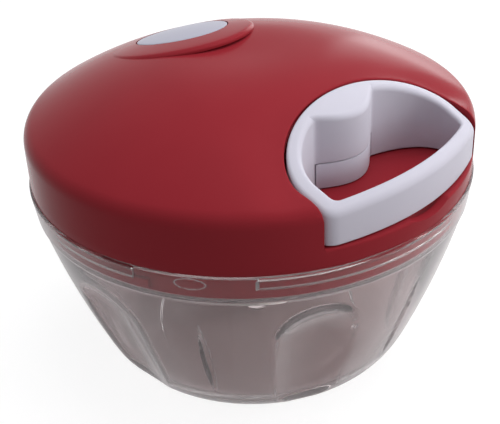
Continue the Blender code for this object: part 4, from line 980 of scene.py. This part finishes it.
def is_inner(point, wall):
    """Whether a point of the flank or of the foot's bend is on the bowl's inner face."""
    if point.z > FLANK_FOOT_HEIGHT:
        return point.xy.length < flank_radius(point.z) - wall / 2
    share = point.z / FLANK_FOOT_HEIGHT
    outer = FOOT_RADIUS + (FLANK_FOOT_RADIUS - FOOT_RADIUS) * math.sqrt(max(share, 0.0))
    return point.z > FLOOR_TOP - MERGE and point.xy.length < outer - wall / 2


def press_flank(mesh, sizes):
    """Presses the scoops through the whole wall and the flutes into its outer face, and marks the lips of the scoops
    and flutes on the outer face, where the clear plastic lays a painted highlight.
    """
    scoop_radius = (sizes.scoop_half_width**2 + sizes.scoop_depth**2) / (2 * sizes.scoop_depth)
    scoop_height = sizes.scoop_top - sizes.scoop_half_width * math.cos(FLANK_LEAN)
    limit = RIM_HEIGHT - BAND_HEIGHT - 2 * RIM_STEP
    lip_highlights = mesh.attributes.new("lip_highlight", "FLOAT", "POINT")

    for vertex in mesh.vertices:
        point = vertex.co
        if point.z > limit or point.xy.length < FOOT_RADIUS - sizes.wall:
            continue
        inside = is_inner(point, sizes.wall)
        grown = scoop_radius + (sizes.wall if inside else 0.0)
        turn = math.atan2(point.y, point.x)
        scoop = SCOOP_FIRST_ANGLE + SCOOP_PITCH * round((turn - SCOOP_FIRST_ANGLE) / SCOOP_PITCH)

        def scoop_at(along):
            return math.sqrt(max(grown * grown - max(along, 0.0) ** 2, 0.0))

        depth = bar_depth(point, scoop, scoop_height, scoop_at, scoop_radius - sizes.scoop_depth)
        if not inside:
            flute = scoop + math.copysign(SCOOP_PITCH / 2, math.remainder(turn - scoop, math.tau))

            def flute_at(along):
                return sizes.flute_depth * max(1 - (along / sizes.flute_half_length) ** 2, 0.0)

            depth = max(depth, bar_depth(point, flute, FLUTE_HEIGHT, flute_at, 0.0))
            # Mask for the painted highlight along the lips
            lip_highlights.data[vertex.index].value = max(1 - abs(depth) / LIP_DEPTH, 0.0)
        vertex.co = shift_inward(point, soft_push(depth))


def open_entries(mesh):
    """Takes the ledge away at the bayonet's entries, and raises the oval mark outside each."""
    for vertex in mesh.vertices:
        point = vertex.co
        radius = point.xy.length
        away = math.remainder(math.atan2(point.y, point.x) - ENTRY_ANGLE, ENTRY_PITCH)
        at_ledge = LEDGE_BOTTOM - RIM_ROUND < point.z < LEDGE_TOP + RIM_ROUND
        if at_ledge and radius < RIM_INNER and abs(away) < ENTRY_HALF_ANGLE:
            vertex.co.xy = point.xy * (RIM_INNER / radius)
        elif radius > RIM_INNER + RIM_WALL / 2:
            above = point.z - (RIM_HEIGHT - MARK_DROP)
            oval = math.hypot(2 * away * radius / MARK_WIDTH, 2 * above / MARK_HEIGHT)
            proud = MARK_PROUD * clamp((1.0 - oval) * MARK_STEEPNESS)
            vertex.co.xy = point.xy * ((radius + proud) / radius)


def gather_columns(mesh):
    """Moves the columns of a turned mesh towards the flutes, whose details are the finest."""
    for vertex in mesh.vertices:
        turn = math.atan2(vertex.co.y, vertex.co.x)
        phase = SCOOP_COUNT * (turn - SCOOP_FIRST_ANGLE) + math.pi
        vertex.co = Matrix.Rotation(-CROWDING / SCOOP_COUNT * math.sin(phase), 3, "Z") @ vertex.co


class CHOPPER_OT_bowl(bpy.types.Operator):
    """Models the clear bowl with its scoops, flutes, rim band and bayonet ledges."""

    bl_idname = "chopper.bowl"
    bl_label = "Clear bowl"

    def execute(self, context):
        sizes = context.scene.chopper_bowl
        mesh = turned_mesh("bowl_shell", bowl_profile(sizes.wall), BOWL_STEPS)
        gather_columns(mesh)
        press_flank(mesh, sizes)
        open_entries(mesh)
        mesh.set_sharp_from_angle(angle=STEEP_FOLD)
        add_piece("bowl_shell", mesh, "clear", "bowl", "bowl")
        return {"FINISHED"}


# Lid


def lid_profile():
    """The lid's shell in section: the inner face from its middle out, round the wall's foot and back over the dome."""
    inner_radius = LID_RADIUS - LID_WALL
    inner = dome_and_shoulder(inner_radius, -LID_WALL, rings=20, shoulder_steps=5)
    outer = dome_and_shoulder(LID_RADIUS, 0.0, rings=56, shoulder_steps=10)
    foot = rounded([inner[-1], (inner_radius, LID_BOTTOM), (LID_RADIUS, LID_BOTTOM), outer[-1]], EDGE_ROUND)
    return inner + dense(foot, LID_SPACING)[1:-1] + list(reversed(outer))


def pocket_plan(grow, front, steps):
    """Plan of the handle's pocket: the arch grown on all sides, then straight out to the front."""
    points = [arch_point(math.pi * step / steps, grow) for step in range(steps + 1)]
    side = ARCH_HALF_WIDTH + grow
    rest = dense([(-side, -ARCH_CENTRE), (-side, -front)], POCKET_SPACING)[1:]
    return points + rest + mirrored(rest)


def pocket_block():
    """The walls and floor that stand round the pocket under the dome."""
    reach = LID_RADIUS - LID_WALL / 2
    plan = pocket_plan(POCKET_CLEARANCE + POCKET_WALL, BAR_FRONT, steps=64)
    plan = [point * min(1.0, reach / point.length) for point in plan]
    low = [(point.x, point.y, POCKET_FLOOR - POCKET_FLOOR_WALL) for point in plan]
    high = [(point.x, point.y, lid_top(point) - LID_WALL / 2) for point in plan]
    return bridged_mesh("pocket block", [low, high])


def pocket_cutter(mouth_round):
    """The pocket's hollow, whose upper edge flares so that the lid's edge is left rounded."""
    plan = pocket_plan(POCKET_CLEARANCE, RIM_RADIUS + OVERRUN, ARCH_STEPS)
    outward = []
    for index in range(len(plan)):
        ahead = plan[(index + 1) % len(plan)] - plan[index - 1]
        outward.append(Vector((ahead.y, -ahead.x)).normalized())
    turns = [math.radians(angle) for angle in (0, 22, 45, 67, 90)]
    shifts = [(mouth_round * (1 - math.cos(turn)), -mouth_round * (1 - math.sin(turn))) for turn in turns]
    # Past the rounding it flares out over the lid
    shifts += [(mouth_round * 1.6, mouth_round * 0.25), (mouth_round * 2.2, OVERRUN)]
    rings = [[(point.x, point.y, POCKET_FLOOR) for point in plan]]
    for away, lift in shifts:
        spots = [point + direction * away for point, direction in zip(plan, outward)]
        rings.append([(spot.x, spot.y, lid_top(spot) + lift) for spot in spots])
    rings.append([(x, y, z + 4 * OVERRUN) for x, y, z in rings[-1]])
    return bridged_mesh("pocket", rings)


def sill_cutter(sill_round):
    """Rounds the front edge of the pocket's floor."""
    corner = Vector((LID_RADIUS, POCKET_FLOOR))
    arc = bend(corner - Vector((sill_round, 0)), corner, corner - Vector((0, sill_round)), 6)
    past = LID_RADIUS + OVERRUN
    outline = arc + [Vector((past, corner.y - sill_round)), Vector((past, corner.y + GAP))]
    outline.append(Vector((arc[0].x, corner.y + GAP)))
    half = math.asin((ARCH_HALF_WIDTH + POCKET_CLEARANCE - GAP) / LID_RADIUS)
    return turned_mesh("sill", outline, ARCH_STEPS, -math.pi / 2 - half, 2 * half)


def notch_cutter():
    """A shallow round dip in the sill that runs out towards the handle's bar."""
    radius = ((NOTCH_WIDTH / 2) ** 2 + NOTCH_DEPTH**2) / (2 * NOTCH_DEPTH)
    long = 2 * (NOTCH_REACH + OVERRUN)
    slope = math.atan(NOTCH_DEPTH / NOTCH_REACH)
    shape = bmesh.new()
    bmesh.ops.create_cone(shape, cap_ends=True, segments=NOTCH_STEPS, radius1=radius, radius2=radius, depth=long)
    bmesh.ops.rotate(shape, verts=shape.verts, matrix=Matrix.Rotation(math.pi / 2 + slope, 3, "X"))
    place = (0, -LID_RADIUS, POCKET_FLOOR - NOTCH_DEPTH + radius / math.cos(slope))
    bmesh.ops.translate(shape, verts=shape.verts, vec=place)
    return to_mesh("notch", shape)


def cord_hole(radius, start, end):
    """A rod along the cord's line, between two distances from the lid's middle, that cuts its hole."""
    start, end = Vector((0, -start, CORD_LEVEL)), Vector((0, -end, CORD_LEVEL))
    far = (end - start).length
    mesh = turned_mesh("cord hole", [(0.0, 0.0), (radius, 0.0), (radius, far), (0.0, far)], CORD_STEPS)
    turn = (end - start).to_track_quat("Z", "Y").to_matrix().to_4x4()
    mesh.transform(Matrix.Translation(start) @ turn)
    return mesh


class CHOPPER_OT_lid(bpy.types.Operator):
    """Models the red lid with its raised pad, badge seat, handle pocket and finger notch."""

    bl_idname = "chopper.lid"
    bl_label = "Red lid"

    def execute(self, context):
        sizes = context.scene.chopper_lid
        radius, under = sizes.pad_radius, -LID_WALL / 2
        pad_edge = [(0.0, PAD_RISE), (radius - PAD_SLOPE, PAD_RISE), (radius, -GAP), (radius, under)]
        pad_outline = dense(rounded(pad_edge, PAD_ROUND), PAD_SPACING) + [Vector((0.0, under))]
        radius, low = sizes.badge_radius + GAP, PAD_RISE - BADGE_THICKNESS - GAP
        seat_outline = dense([(0.0, OVERRUN), (radius, OVERRUN), (radius, low), (0.0, low)], PAD_SPACING)
        shell = turned_mesh("lid_shell", lid_profile(), LID_STEPS)
        for vertex in shell.vertices:
            if vertex.co.z > dome_height(vertex.co.xy.length) - LID_WALL / 2:
                vertex.co.z -= handle_dip(vertex.co)
        mesh = carve(
            shell,
            ("UNION", pocket_block()),
            ("UNION", crowned_disc("pad", polar(PAD_DISTANCE, PAD_ANGLE), pad_outline, PAD_STEPS)),
            ("DIFFERENCE", pocket_cutter(sizes.mouth_round)),
            ("DIFFERENCE", sill_cutter(sizes.sill_round)),
            ("DIFFERENCE", notch_cutter()),
            ("DIFFERENCE", crowned_disc("badge seat", polar(BADGE_DISTANCE, BADGE_ANGLE), seat_outline, BADGE_STEPS)),
            ("DIFFERENCE", cord_hole(2 * CORD_RADIUS, POCKET_BACK - 2 * OVERRUN, POCKET_BACK + OVERRUN)),
        )
        add_piece("lid_shell", mesh, "red", "lid_cover", "lid")
        return {"FINISHED"}


class CHOPPER_OT_badge(bpy.types.Operator):
    """Models the plain inlay on the lid's pad."""

    bl_idname = "chopper.badge"
    bl_label = "Badge"

    def execute(self, context):
        radius, low = context.scene.chopper_lid.badge_radius, PAD_RISE - BADGE_THICKNESS
        edge = rounded([(0.0, PAD_RISE), (radius, PAD_RISE), (radius, low), (0.0, low)], EDGE_ROUND)
        place = polar(BADGE_DISTANCE, BADGE_ANGLE)
        mesh = crowned_disc("badge_inlay", place, dense(edge, BADGE_SPACING), BADGE_STEPS)
        add_piece("badge_inlay", mesh, "badge", "lid_badge", "lid")
        return {"FINISHED"}


class CHOPPER_OT_lid_base(bpy.types.Operator):
    """Models the lid's base: its plate, skirt, bayonet lugs and the collar round the drive hub."""

    bl_idname = "chopper.lid_base"
    bl_label = "Lid base"

    def execute(self, context):
        collar = HUB_HOLE + COLLAR_WALL
        skirt_inner = SKIRT_RADIUS - SKIRT_WALL
        rim = LID_RADIUS - LID_WALL - GAP
        outline = [(HUB_HOLE, PLATE_TOP), (HUB_HOLE, COLLAR_TOP), (collar, COLLAR_TOP), (collar, PLATE_TOP)]
        outline += [(rim, PLATE_TOP), (rim, PLATE_BOTTOM), (SKIRT_RADIUS, PLATE_BOTTOM), (SKIRT_RADIUS, SKIRT_LOW)]
        outline += [(skirt_inner, SKIRT_LOW), (skirt_inner, PLATE_BOTTOM), (collar, PLATE_BOTTOM)]
        outline += [(collar, HUB_BOTTOM), (HUB_HOLE, HUB_BOTTOM), (HUB_HOLE, PLATE_BOTTOM)]
        shape = bmesh.new()
        turn_outline(shape, rounded(outline, EDGE_ROUND), BASE_STEPS)
        high, low = LEDGE_BOTTOM - GAP, LEDGE_BOTTOM - GAP - LUG_HEIGHT
        inner, outer = SKIRT_RADIUS - SKIRT_WALL / 2, SKIRT_RADIUS + LUG_PROJECTION
        lug = rounded([(inner, high), (outer, high), (outer, low), (inner, low)], EDGE_ROUND)
        for index in range(BAYONET_COUNT):
            middle = ENTRY_ANGLE - TWIST_ANGLE + math.tau * index / BAYONET_COUNT
            turn_outline(shape, lug, 16, middle - LUG_HALF_ANGLE, 2 * LUG_HALF_ANGLE)
        add_piece("base_ring", to_mesh("base_ring", shape), "red", "lid_base", "lid")
        return {"FINISHED"}


class CHOPPER_OT_cover_screws(bpy.types.Operator):
    """Models the four slotted screws under the lid's base."""

    bl_idname = "chopper.cover_screws"
    bl_label = "Cover screws"

    def execute(self, context):
        for index, angle in enumerate(POST_ANGLES):
            node = f"cover_screw_{index + 1}"
            low, high = (corner.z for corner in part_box(node))
            under_head = low + SCREW_HEAD_HEIGHT
            outline = [(0.0, high), (SCREW_RADIUS, high - SCREW_RADIUS), (SCREW_RADIUS, under_head)]
            outline += [(SCREW_HEAD_RADIUS, under_head), (SCREW_HEAD_RADIUS, low), (0.0, low)]
            long, half = SCREW_HEAD_RADIUS + GAP, SLOT_WIDTH / 2
            slot = prism([(-long, -half), (long, -half), (long, half), (-long, half)], low - GAP, low + SLOT_DEPTH)
            screw = turned_mesh(node, rounded(outline, SCREW_ROUND), SCREW_STEPS)
            mesh = carve(screw, ("DIFFERENCE", to_mesh("slot", slot)))
            turn = Matrix.Rotation(angle * SLOT_TURN, 4, "Z")
            mesh.transform(Matrix.Translation(polar(POST_DISTANCE, angle)) @ turn)
            add_piece(f"{node}_slotted", mesh, "steel", node, "lid")
        return {"FINISHED"}


# Handle


def loop_outline(grow, back_wall, corner_x, bar_y, bow, corner_round, boss=0.0):
    """Plan of one side of the handle's loop: arch from right to left, corner, bowed bar, corner."""
    points = []
    for step in range(ARCH_STEPS + 1):
        turn = math.pi * step / ARCH_STEPS
        x = (ARCH_HALF_WIDTH + grow) * math.cos(turn)
        y = -ARCH_CENTRE + (ARCH_REACH - back_wall) * math.sin(turn)
        points.append(Vector((x, y - boss * boss_reach(x))))
    limit = corner_x - CORNER_SPREAD * corner_round
    front = []
    for step in range(BAR_STEPS + 1):
        x = -limit + 2 * limit * step / BAR_STEPS
        front.append(Vector((x, -bar_y + bow * (x / corner_x) ** 2)))
    corner = Vector((-corner_x, -bar_y + bow))
    side = corner - points[-1]
    before = points[-1] + side * max(0.0, 1 - CORNER_SPREAD * corner_round / side.length)
    left = bend(before, corner, front[0], CORNER_STEPS)
    return points + left[:-1] + front + mirrored(left)[1:]


class CHOPPER_OT_handle(bpy.types.Operator):
    """Models the pull handle: the arch, the bowed bar and the cord boss, rounded on all edges."""

    bl_idname = "chopper.handle"
    bl_label = "Pull handle"

    def execute(self, context):
        sizes = context.scene.chopper_handle
        corner_x, bar_back = ARCH_HALF_WIDTH - ARCH_SIDE_WALL - CORNER_INSET, BAR_FRONT - BAR_WALL
        outer = loop_outline(0.0, 0.0, ARCH_HALF_WIDTH - CORNER_INSET, BAR_FRONT, BAR_BOW, CORNER_ROUND)
        inner = loop_outline(
            -ARCH_SIDE_WALL, ARCH_BACK_WALL, corner_x, bar_back, BAR_INNER_BOW, INNER_CORNER_ROUND, boss=1.0
        )
        shape = bmesh.new()
        loops = []
        for outline in (outer, inner):
            loops += closed_ring(shape, [(point.x, point.y, HANDLE_FOOT) for point in outline])
        tops = set(raise_faces(shape, bmesh.ops.bridge_loops(shape, edges=loops)["faces"]))
        for vertex in tops:
            vertex.co.z = dome_curve(vertex.co.xy.length) - HANDLE_DROP
        bmesh.ops.recalc_face_normals(shape, faces=shape.faces)
        shape.normal_update()
        weights = shape.edges.layers.float.new("bevel_weight_edge")
        for edge in shape.edges:
            if edge.calc_face_angle(0.0) >= HANDLE_FOLD:
                width = self.top_round(edge, sizes) if set(edge.verts) <= tops else sizes.foot_round
                edge[weights] = width / sizes.edge_round
        wide = BOSS_HALF_WIDTH + GAP
        wall = [(x, arch_inner_y(x)) for x in across_boss(wide, steps=24)]
        front = -(KNOT_DISTANCE + BOSS_DEPTH + OVERRUN)
        room = prism([*wall, (-wide, front), (wide, front)], HANDLE_FOOT - OVERRUN, CAP_TOP + GAP)
        mesh = carve(
            soften(to_mesh("handle_grip", shape), sizes.edge_round),
            ("DIFFERENCE", to_mesh("cap room", room)),
            ("DIFFERENCE", cord_hole(CORD_RADIUS + GAP, KNOT_DISTANCE, ARCH_CENTRE - ARCH_REACH - OVERRUN)),
        )
        add_piece("handle_grip", mesh, "white", "handle_loop", "handle")
        return {"FINISHED"}

    def top_round(self, edge, sizes):
        """Rounding of an upper edge: small behind the arch, where the lid meets it, and full elsewhere."""
        middle = (edge.verts[0].co + edge.verts[1].co) / 2
        along = (middle.y + ARCH_CENTRE) / ARCH_REACH
        ring = math.hypot(middle.x / ARCH_HALF_WIDTH, along)
        if middle.y < -ARCH_CENTRE:
            ring = abs(middle.x) / ARCH_HALF_WIDTH
        if ring < WITHIN_ARCH:
            return sizes.edge_round
        return sizes.edge_round + (sizes.arch_round - sizes.edge_round) * clamp(along + ROUND_FADE)


class CHOPPER_OT_handle_cap(bpy.types.Operator):
    """Models the separate cap under the handle's cord boss."""

    bl_idname = "chopper.handle_cap"
    bl_label = "Handle cap"

    def execute(self, context):
        across = across_boss(BOSS_HALF_WIDTH - GAP, steps=48)
        back = [Vector((x, arch_inner_y(x) - GAP)) for x in across]
        nose = [Vector((x, arch_inner_y(x) - boss_reach(x))) for x in reversed(across)]
        outline = back + [point for point in nose if point.y < arch_inner_y(point.x) - 1.2 * GAP]
        shape = prism(outline, HANDLE_FOOT, CAP_TOP)
        bmesh.ops.recalc_face_normals(shape, faces=shape.faces)
        rims = [edge for edge in shape.edges if abs(edge.verts[0].co.z - edge.verts[1].co.z) < MERGE]
        bmesh.ops.bevel(
            shape, geom=rims, offset=CAP_ROUND, segments=2, profile=0.5, affect="EDGES", material=-1, clamp_overlap=True
        )
        add_piece("cap_under_boss", to_mesh("cap_under_boss", shape), "white", "handle_cap", "handle")
        return {"FINISHED"}


# Blade unit


class CHOPPER_OT_blade_shaft(bpy.types.Operator):
    """Models the blade unit's shaft with its shoulder, neck and hexagonal top."""

    bl_idname = "chopper.blade_shaft"
    bl_label = "Blade shaft"

    def execute(self, context):
        chamfer = SHAFT_NECK / 2
        neck_top, bore_top = HUB_BOTTOM - GAP, PIN_TOP + GAP
        outline = [(0.0, neck_top), (SHAFT_NECK, neck_top), (SHAFT_NECK, SHAFT_SHOULDER_HEIGHT + SHAFT_SHOULDER)]
        outline += [(SHAFT_SHOULDER, SHAFT_SHOULDER_HEIGHT + chamfer), (SHAFT_SHOULDER, SHAFT_BOTTOM + chamfer)]
        outline += [(SHAFT_RADIUS, SHAFT_BOTTOM), (PIN_HOLE_RADIUS, SHAFT_BOTTOM)]
        outline += [(PIN_HOLE_RADIUS, bore_top), (0.0, bore_top)]
        shape = bmesh.new()
        turn_outline(shape, dense(rounded(outline, SHAFT_ROUND, 4), COARSE_SPACING), SHAFT_STEPS)
        hexagon = bmesh.ops.create_circle(shape, cap_ends=True, segments=6, radius=SOCKET_RADIUS)["verts"]
        bmesh.ops.rotate(shape, verts=hexagon, matrix=Matrix.Rotation(math.pi / 6, 3, "Z"))
        bmesh.ops.translate(shape, verts=hexagon, vec=(0, 0, HUB_BOTTOM - 2 * GAP))
        tops = raise_faces(shape, [hexagon[0].link_faces[0]])
        bmesh.ops.translate(shape, verts=tops, vec=(0, 0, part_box("blade_shaft")[1].z - HUB_BOTTOM + 2 * GAP))
        add_piece("shaft_body", to_mesh("shaft_body", shape), "natural", "blade_shaft", "drive")
        return {"FINISHED"}


def blade_section(share, lift, height, sizes):
    """One section across a blade: square back, flat sides and the ground leading edge."""
    along = BLADE_ROOT + (BLADE_REACH - BLADE_ROOT) * share
    width = BLADE_ROOT_WIDTH + (BLADE_TIP_WIDTH - BLADE_ROOT_WIDTH) * share**BLADE_TAPER
    middle = sizes.sweep * share * share
    level = height + lift * share * share
    back, front = middle + width / 2, middle - width / 2
    ground = front + min(sizes.grind, width * BLADE_GRIND_SHARE)
    half, edge = sizes.thickness / 2, BLADE_EDGE / 2
    upper = [(back, level + half), (ground, level + half), (front, level + edge)]
    lower = [(front, level - edge), (ground, level - half)]
    return [Vector((along, across, up)) for across, up in [(back, level - half), *upper, *lower]]


class CHOPPER_OT_blades(bpy.types.Operator):
    """Models the three swept steel blades at their three heights."""

    bl_idname = "chopper.blades"
    bl_label = "Blades"

    def execute(self, context):
        sizes = context.scene.chopper_blades
        for label, height, angle, lift in zip(BLADE_NAMES, BLADE_HEIGHTS, BLADE_ANGLES, BLADE_LIFTS):
            sections = [blade_section(step / BLADE_STEPS, lift, height, sizes) for step in range(BLADE_STEPS + 1)]
            mesh = bridged_mesh(f"blade_{label}", sections)
            mesh.transform(Matrix.Rotation(angle, 4, "Z"))
            mesh.set_sharp_from_angle(angle=SLIGHT_FOLD)
            piece = add_piece(f"blade_{label}_ground", mesh, "steel", f"blade_{label}", "drive")
            edges = piece.modifiers.new("soft edges", "BEVEL")
            with_settings(edges, width=BLADE_ROUND, segments=2, limit_method="ANGLE", angle_limit=STEEP_FOLD)
        return {"FINISHED"}


# Cord and the hidden mechanism


class CHOPPER_OT_cord(bpy.types.Operator):
    """Models the pull cord's run from the spool to the handle's knot; the real cord stretches out of the lid as the
    handle is pulled.
    """

    bl_idname = "chopper.cord"
    bl_label = "Pull cord"

    def execute(self, context):
        bush = POCKET_BACK - POCKET_WALL / 2
        lean = math.acos(WOUND_RADIUS / bush)
        leave = Vector((WOUND_RADIUS * math.sin(lean), -WOUND_RADIUS * math.cos(lean), CORD_LEVEL))
        guide = Vector((0, -bush, CORD_LEVEL))
        knot = Vector((0, -(KNOT_DISTANCE - CORD_RADIUS), CORD_LEVEL))
        route = [leave.lerp(guide, step / WOUND_STEPS) for step in range(WOUND_STEPS)]
        route += [guide.lerp(knot, step / RUN_STEPS) for step in range(RUN_STEPS + 1)]
        rings = []
        for index, point in enumerate(route):
            ahead = route[min(index + 1, len(route) - 1)] - route[max(index - 1, 0)]
            turn = ahead.to_track_quat("Z", "Y").to_matrix()
            spots = [polar(CORD_RADIUS, math.tau * step / CORD_STEPS) for step in range(CORD_STEPS)]
            rings.append([point + turn @ spot for spot in spots])
        piece = add_piece("cord_run", bridged_mesh("cord_run", rings), "cord", "pull_cord")
        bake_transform(piece)
        return {"FINISHED"}


class CHOPPER_OT_mechanism(bpy.types.Operator):
    """Gives the mechanism's pieces, whose solids are kept, their plastics, steel and cord."""

    bl_idname = "chopper.mechanism"
    bl_label = "Mechanism finishes"

    def execute(self, context):
        replaced = set()
        for item in bpy.data.objects:
            replaced |= set(item.get("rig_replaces", []))
        for part in frame["record"]["subparts"]:
            if part["node"] not in replaced:
                for place in frame["nodes"][part["node"]].material_slots:
                    place.material = finish_for(part["material_slot"])
        return {"FINISHED"}


# Stage


def floor_finish(name):
    """A pale floor that is white with the object's soft shadow for the camera and in reflections, and a darker reddish
    diffuse, a painted shade, for what is seen through the clear plastic.
    """
    finish = Finish(name)
    rays = finish.add("ShaderNodeLightPath").outputs
    white = finish.shader("ShaderNodeEmission", {"Color": (1, 1, 1), "Strength": 0.84})
    seen = finish.shader("ShaderNodeAddShader", {0: white, 1: finish.diffuse((0.24, 0.24, 0.24))})
    mirrored = finish.choose(rays["Is Glossy Ray"], finish.diffuse((0.40, 0.365, 0.36)), seen)
    # Painted shade: through the clear plastic the floor is a darker, reddish diffuse, which darkens what is seen
    # through the bowl.
    through = finish.choose(rays["Is Transmission Ray"], mirrored, finish.diffuse((0.48, 0.385, 0.385)))
    return finish.close(finish.choose(rays["Is Camera Ray"], through, seen))


def around(bearing, elevation, distance=1.1):
    """A place round the object: its bearing is measured to the right of the camera's line of sight."""
    side, height = math.radians(bearing), math.radians(elevation)
    flat = Vector((math.sin(side), math.cos(side), 0)) * math.cos(height)
    return Matrix.Rotation(VIEW_TURN, 3, "Z") @ (flat + Vector((0, 0, math.sin(height)))) * distance


def add_lamp(name, place, size, power, tint, mirrored=True):
    """A soft lamp aimed at the object's middle, which shows in reflections where mirrored is true."""
    data = bpy.data.lights.new(name, "AREA")
    with_settings(data, shape="RECTANGLE", size=size[0], size_y=size[1], energy=power, color=tint)
    turn = (Vector(LAMP_AIM) - place).to_track_quat("-Z", "Y").to_euler()
    lamp = link_object(name, data)
    with_settings(lamp, location=place, rotation_euler=turn, visible_camera=False, visible_glossy=mirrored)


def photo_camera():
    """The camera at the photograph's viewing angle."""
    data = bpy.data.cameras.new("photo camera")
    camera = link_object("photo camera", with_settings(data, sensor_width=36.0, lens=VIEW_LENS, clip_start=5 * MM))
    back = Vector((0, -VIEW_DISTANCE * math.cos(VIEW_ELEVATION), VIEW_DISTANCE * math.sin(VIEW_ELEVATION)))
    stand = Matrix.Translation((0, 0, VIEW_AIM_HEIGHT)) @ Matrix.Rotation(VIEW_TURN, 4, "Z")
    upright = Matrix.Rotation(math.pi / 2 - VIEW_ELEVATION, 4, "X")
    pan, tilt = Matrix.Rotation(-VIEW_PAN, 4, "Y"), Matrix.Rotation(VIEW_TILT, 4, "X")
    aimed = pan @ tilt @ Matrix.Rotation(VIEW_ROLL, 4, "Z")
    camera.matrix_world = stand @ Matrix.Translation(back) @ upright @ aimed
    bpy.context.scene.camera = camera


def studio_world():
    """Grey studio surroundings, brighter overhead, that the camera, reflections and clear plastic see as white."""
    world = bpy.data.worlds.new("studio")
    world.use_nodes = True
    bpy.context.scene.world = world
    finish = Finish("studio", world.node_tree)
    lift = finish.axes(finish.add("ShaderNodeTexCoord").outputs["Generated"])[2]
    upper = finish.number("ShaderNodeMapRange", "Result", None, {"Value": lift, "From Min": -0.1, "From Max": 0.9})
    surround = finish.mix(upper, (0.27, 0.26, 0.265), (0.50, 0.50, 0.53))
    rays = finish.add("ShaderNodeLightPath").outputs
    kinds = ("Camera", "Transmission", "Glossy")
    camera, through, mirrored = (Number(finish, rays[f"Is {kind} Ray"]) for kind in kinds)
    seen = finish.mix((camera + through + mirrored).over(0.5), surround, (1.0, 1.0, 1.0))
    light = finish.shader("ShaderNodeBackground", {"Color": seen, "Strength": 1.0})
    finish.add("ShaderNodeOutputWorld", None, {"Surface": light})


class CHOPPER_OT_stage(bpy.types.Operator):
    """Sets the floor, the lamps, the surroundings and the camera."""

    bl_idname = "chopper.stage"
    bl_label = "Stage"

    def execute(self, context):
        shape = bmesh.new()
        bmesh.ops.create_grid(shape, x_segments=2, y_segments=2, size=FLOOR_REACH)
        bmesh.ops.translate(shape, verts=shape.verts, vec=(0, 0, CAD_BOX[0].z - GAP / 3))
        mesh = to_mesh("floor", shape)
        mesh.materials.append(floor_finish("pale floor"))
        link_object("floor", mesh)
        photo_camera()
        studio_world()
        add_lamp("window", around(22, 15), (0.34, 0.54), 1.10, (1.0, 0.99, 1.0))
        add_lamp("ceiling", around(60, 75), (0.9, 0.9), 7.0, (1.0, 0.99, 0.99), mirrored=False)
        add_lamp("side fill", around(95, 22), (0.7, 0.7), 6.5, (1.0, 1.0, 1.0), mirrored=False)
        context.scene.view_settings.view_transform = "Standard"
        return {"FINISHED"}


class CHOPPER_PT_panel(bpy.types.Panel):
    """Lists the chopper's sizes, colours and pieces in the sidebar."""

    bl_label = "Chopper"
    bl_idname = "CHOPPER_PT_panel"
    bl_space_type = "VIEW_3D"
    bl_region_type = "UI"
    bl_category = "Chopper"

    def draw(self, context):
        column = self.layout.column()
        for group in (getattr(context.scene, name) for name in GROUPS):
            for key in group.bl_rna.properties.keys():
                if key not in ("rna_type", "name"):
                    column.prop(group, key)
        for operator in OPERATORS:
            column.operator(operator.bl_idname)


GROUPS = {
    "chopper_bowl": BowlSizes,
    "chopper_lid": LidSizes,
    "chopper_handle": HandleSizes,
    "chopper_blades": BladeSizes,
    "chopper_colours": ChopperColours,
}

OPERATORS = (
    CHOPPER_OT_bowl,
    CHOPPER_OT_lid,
    CHOPPER_OT_badge,
    CHOPPER_OT_lid_base,
    CHOPPER_OT_cover_screws,
    CHOPPER_OT_handle,
    CHOPPER_OT_handle_cap,
    CHOPPER_OT_blade_shaft,
    CHOPPER_OT_blades,
    CHOPPER_OT_cord,
    CHOPPER_OT_mechanism,
    CHOPPER_OT_stage,
)


def register():
    for name, group in GROUPS.items():
        bpy.utils.register_class(group)
        setattr(bpy.types.Scene, name, PointerProperty(type=group))
    for item in (*OPERATORS, CHOPPER_PT_panel):
        bpy.utils.register_class(item)


def unregister():
    for item in (CHOPPER_PT_panel, *reversed(OPERATORS)):
        bpy.utils.unregister_class(item)
    for name, group in GROUPS.items():
        delattr(bpy.types.Scene, name)
        bpy.utils.unregister_class(group)


def main():
    register()
    for operator in OPERATORS:
        group, name = operator.bl_idname.split(".")
        getattr(getattr(bpy.ops, group), name)()


if __name__ == "__main__":
    main()
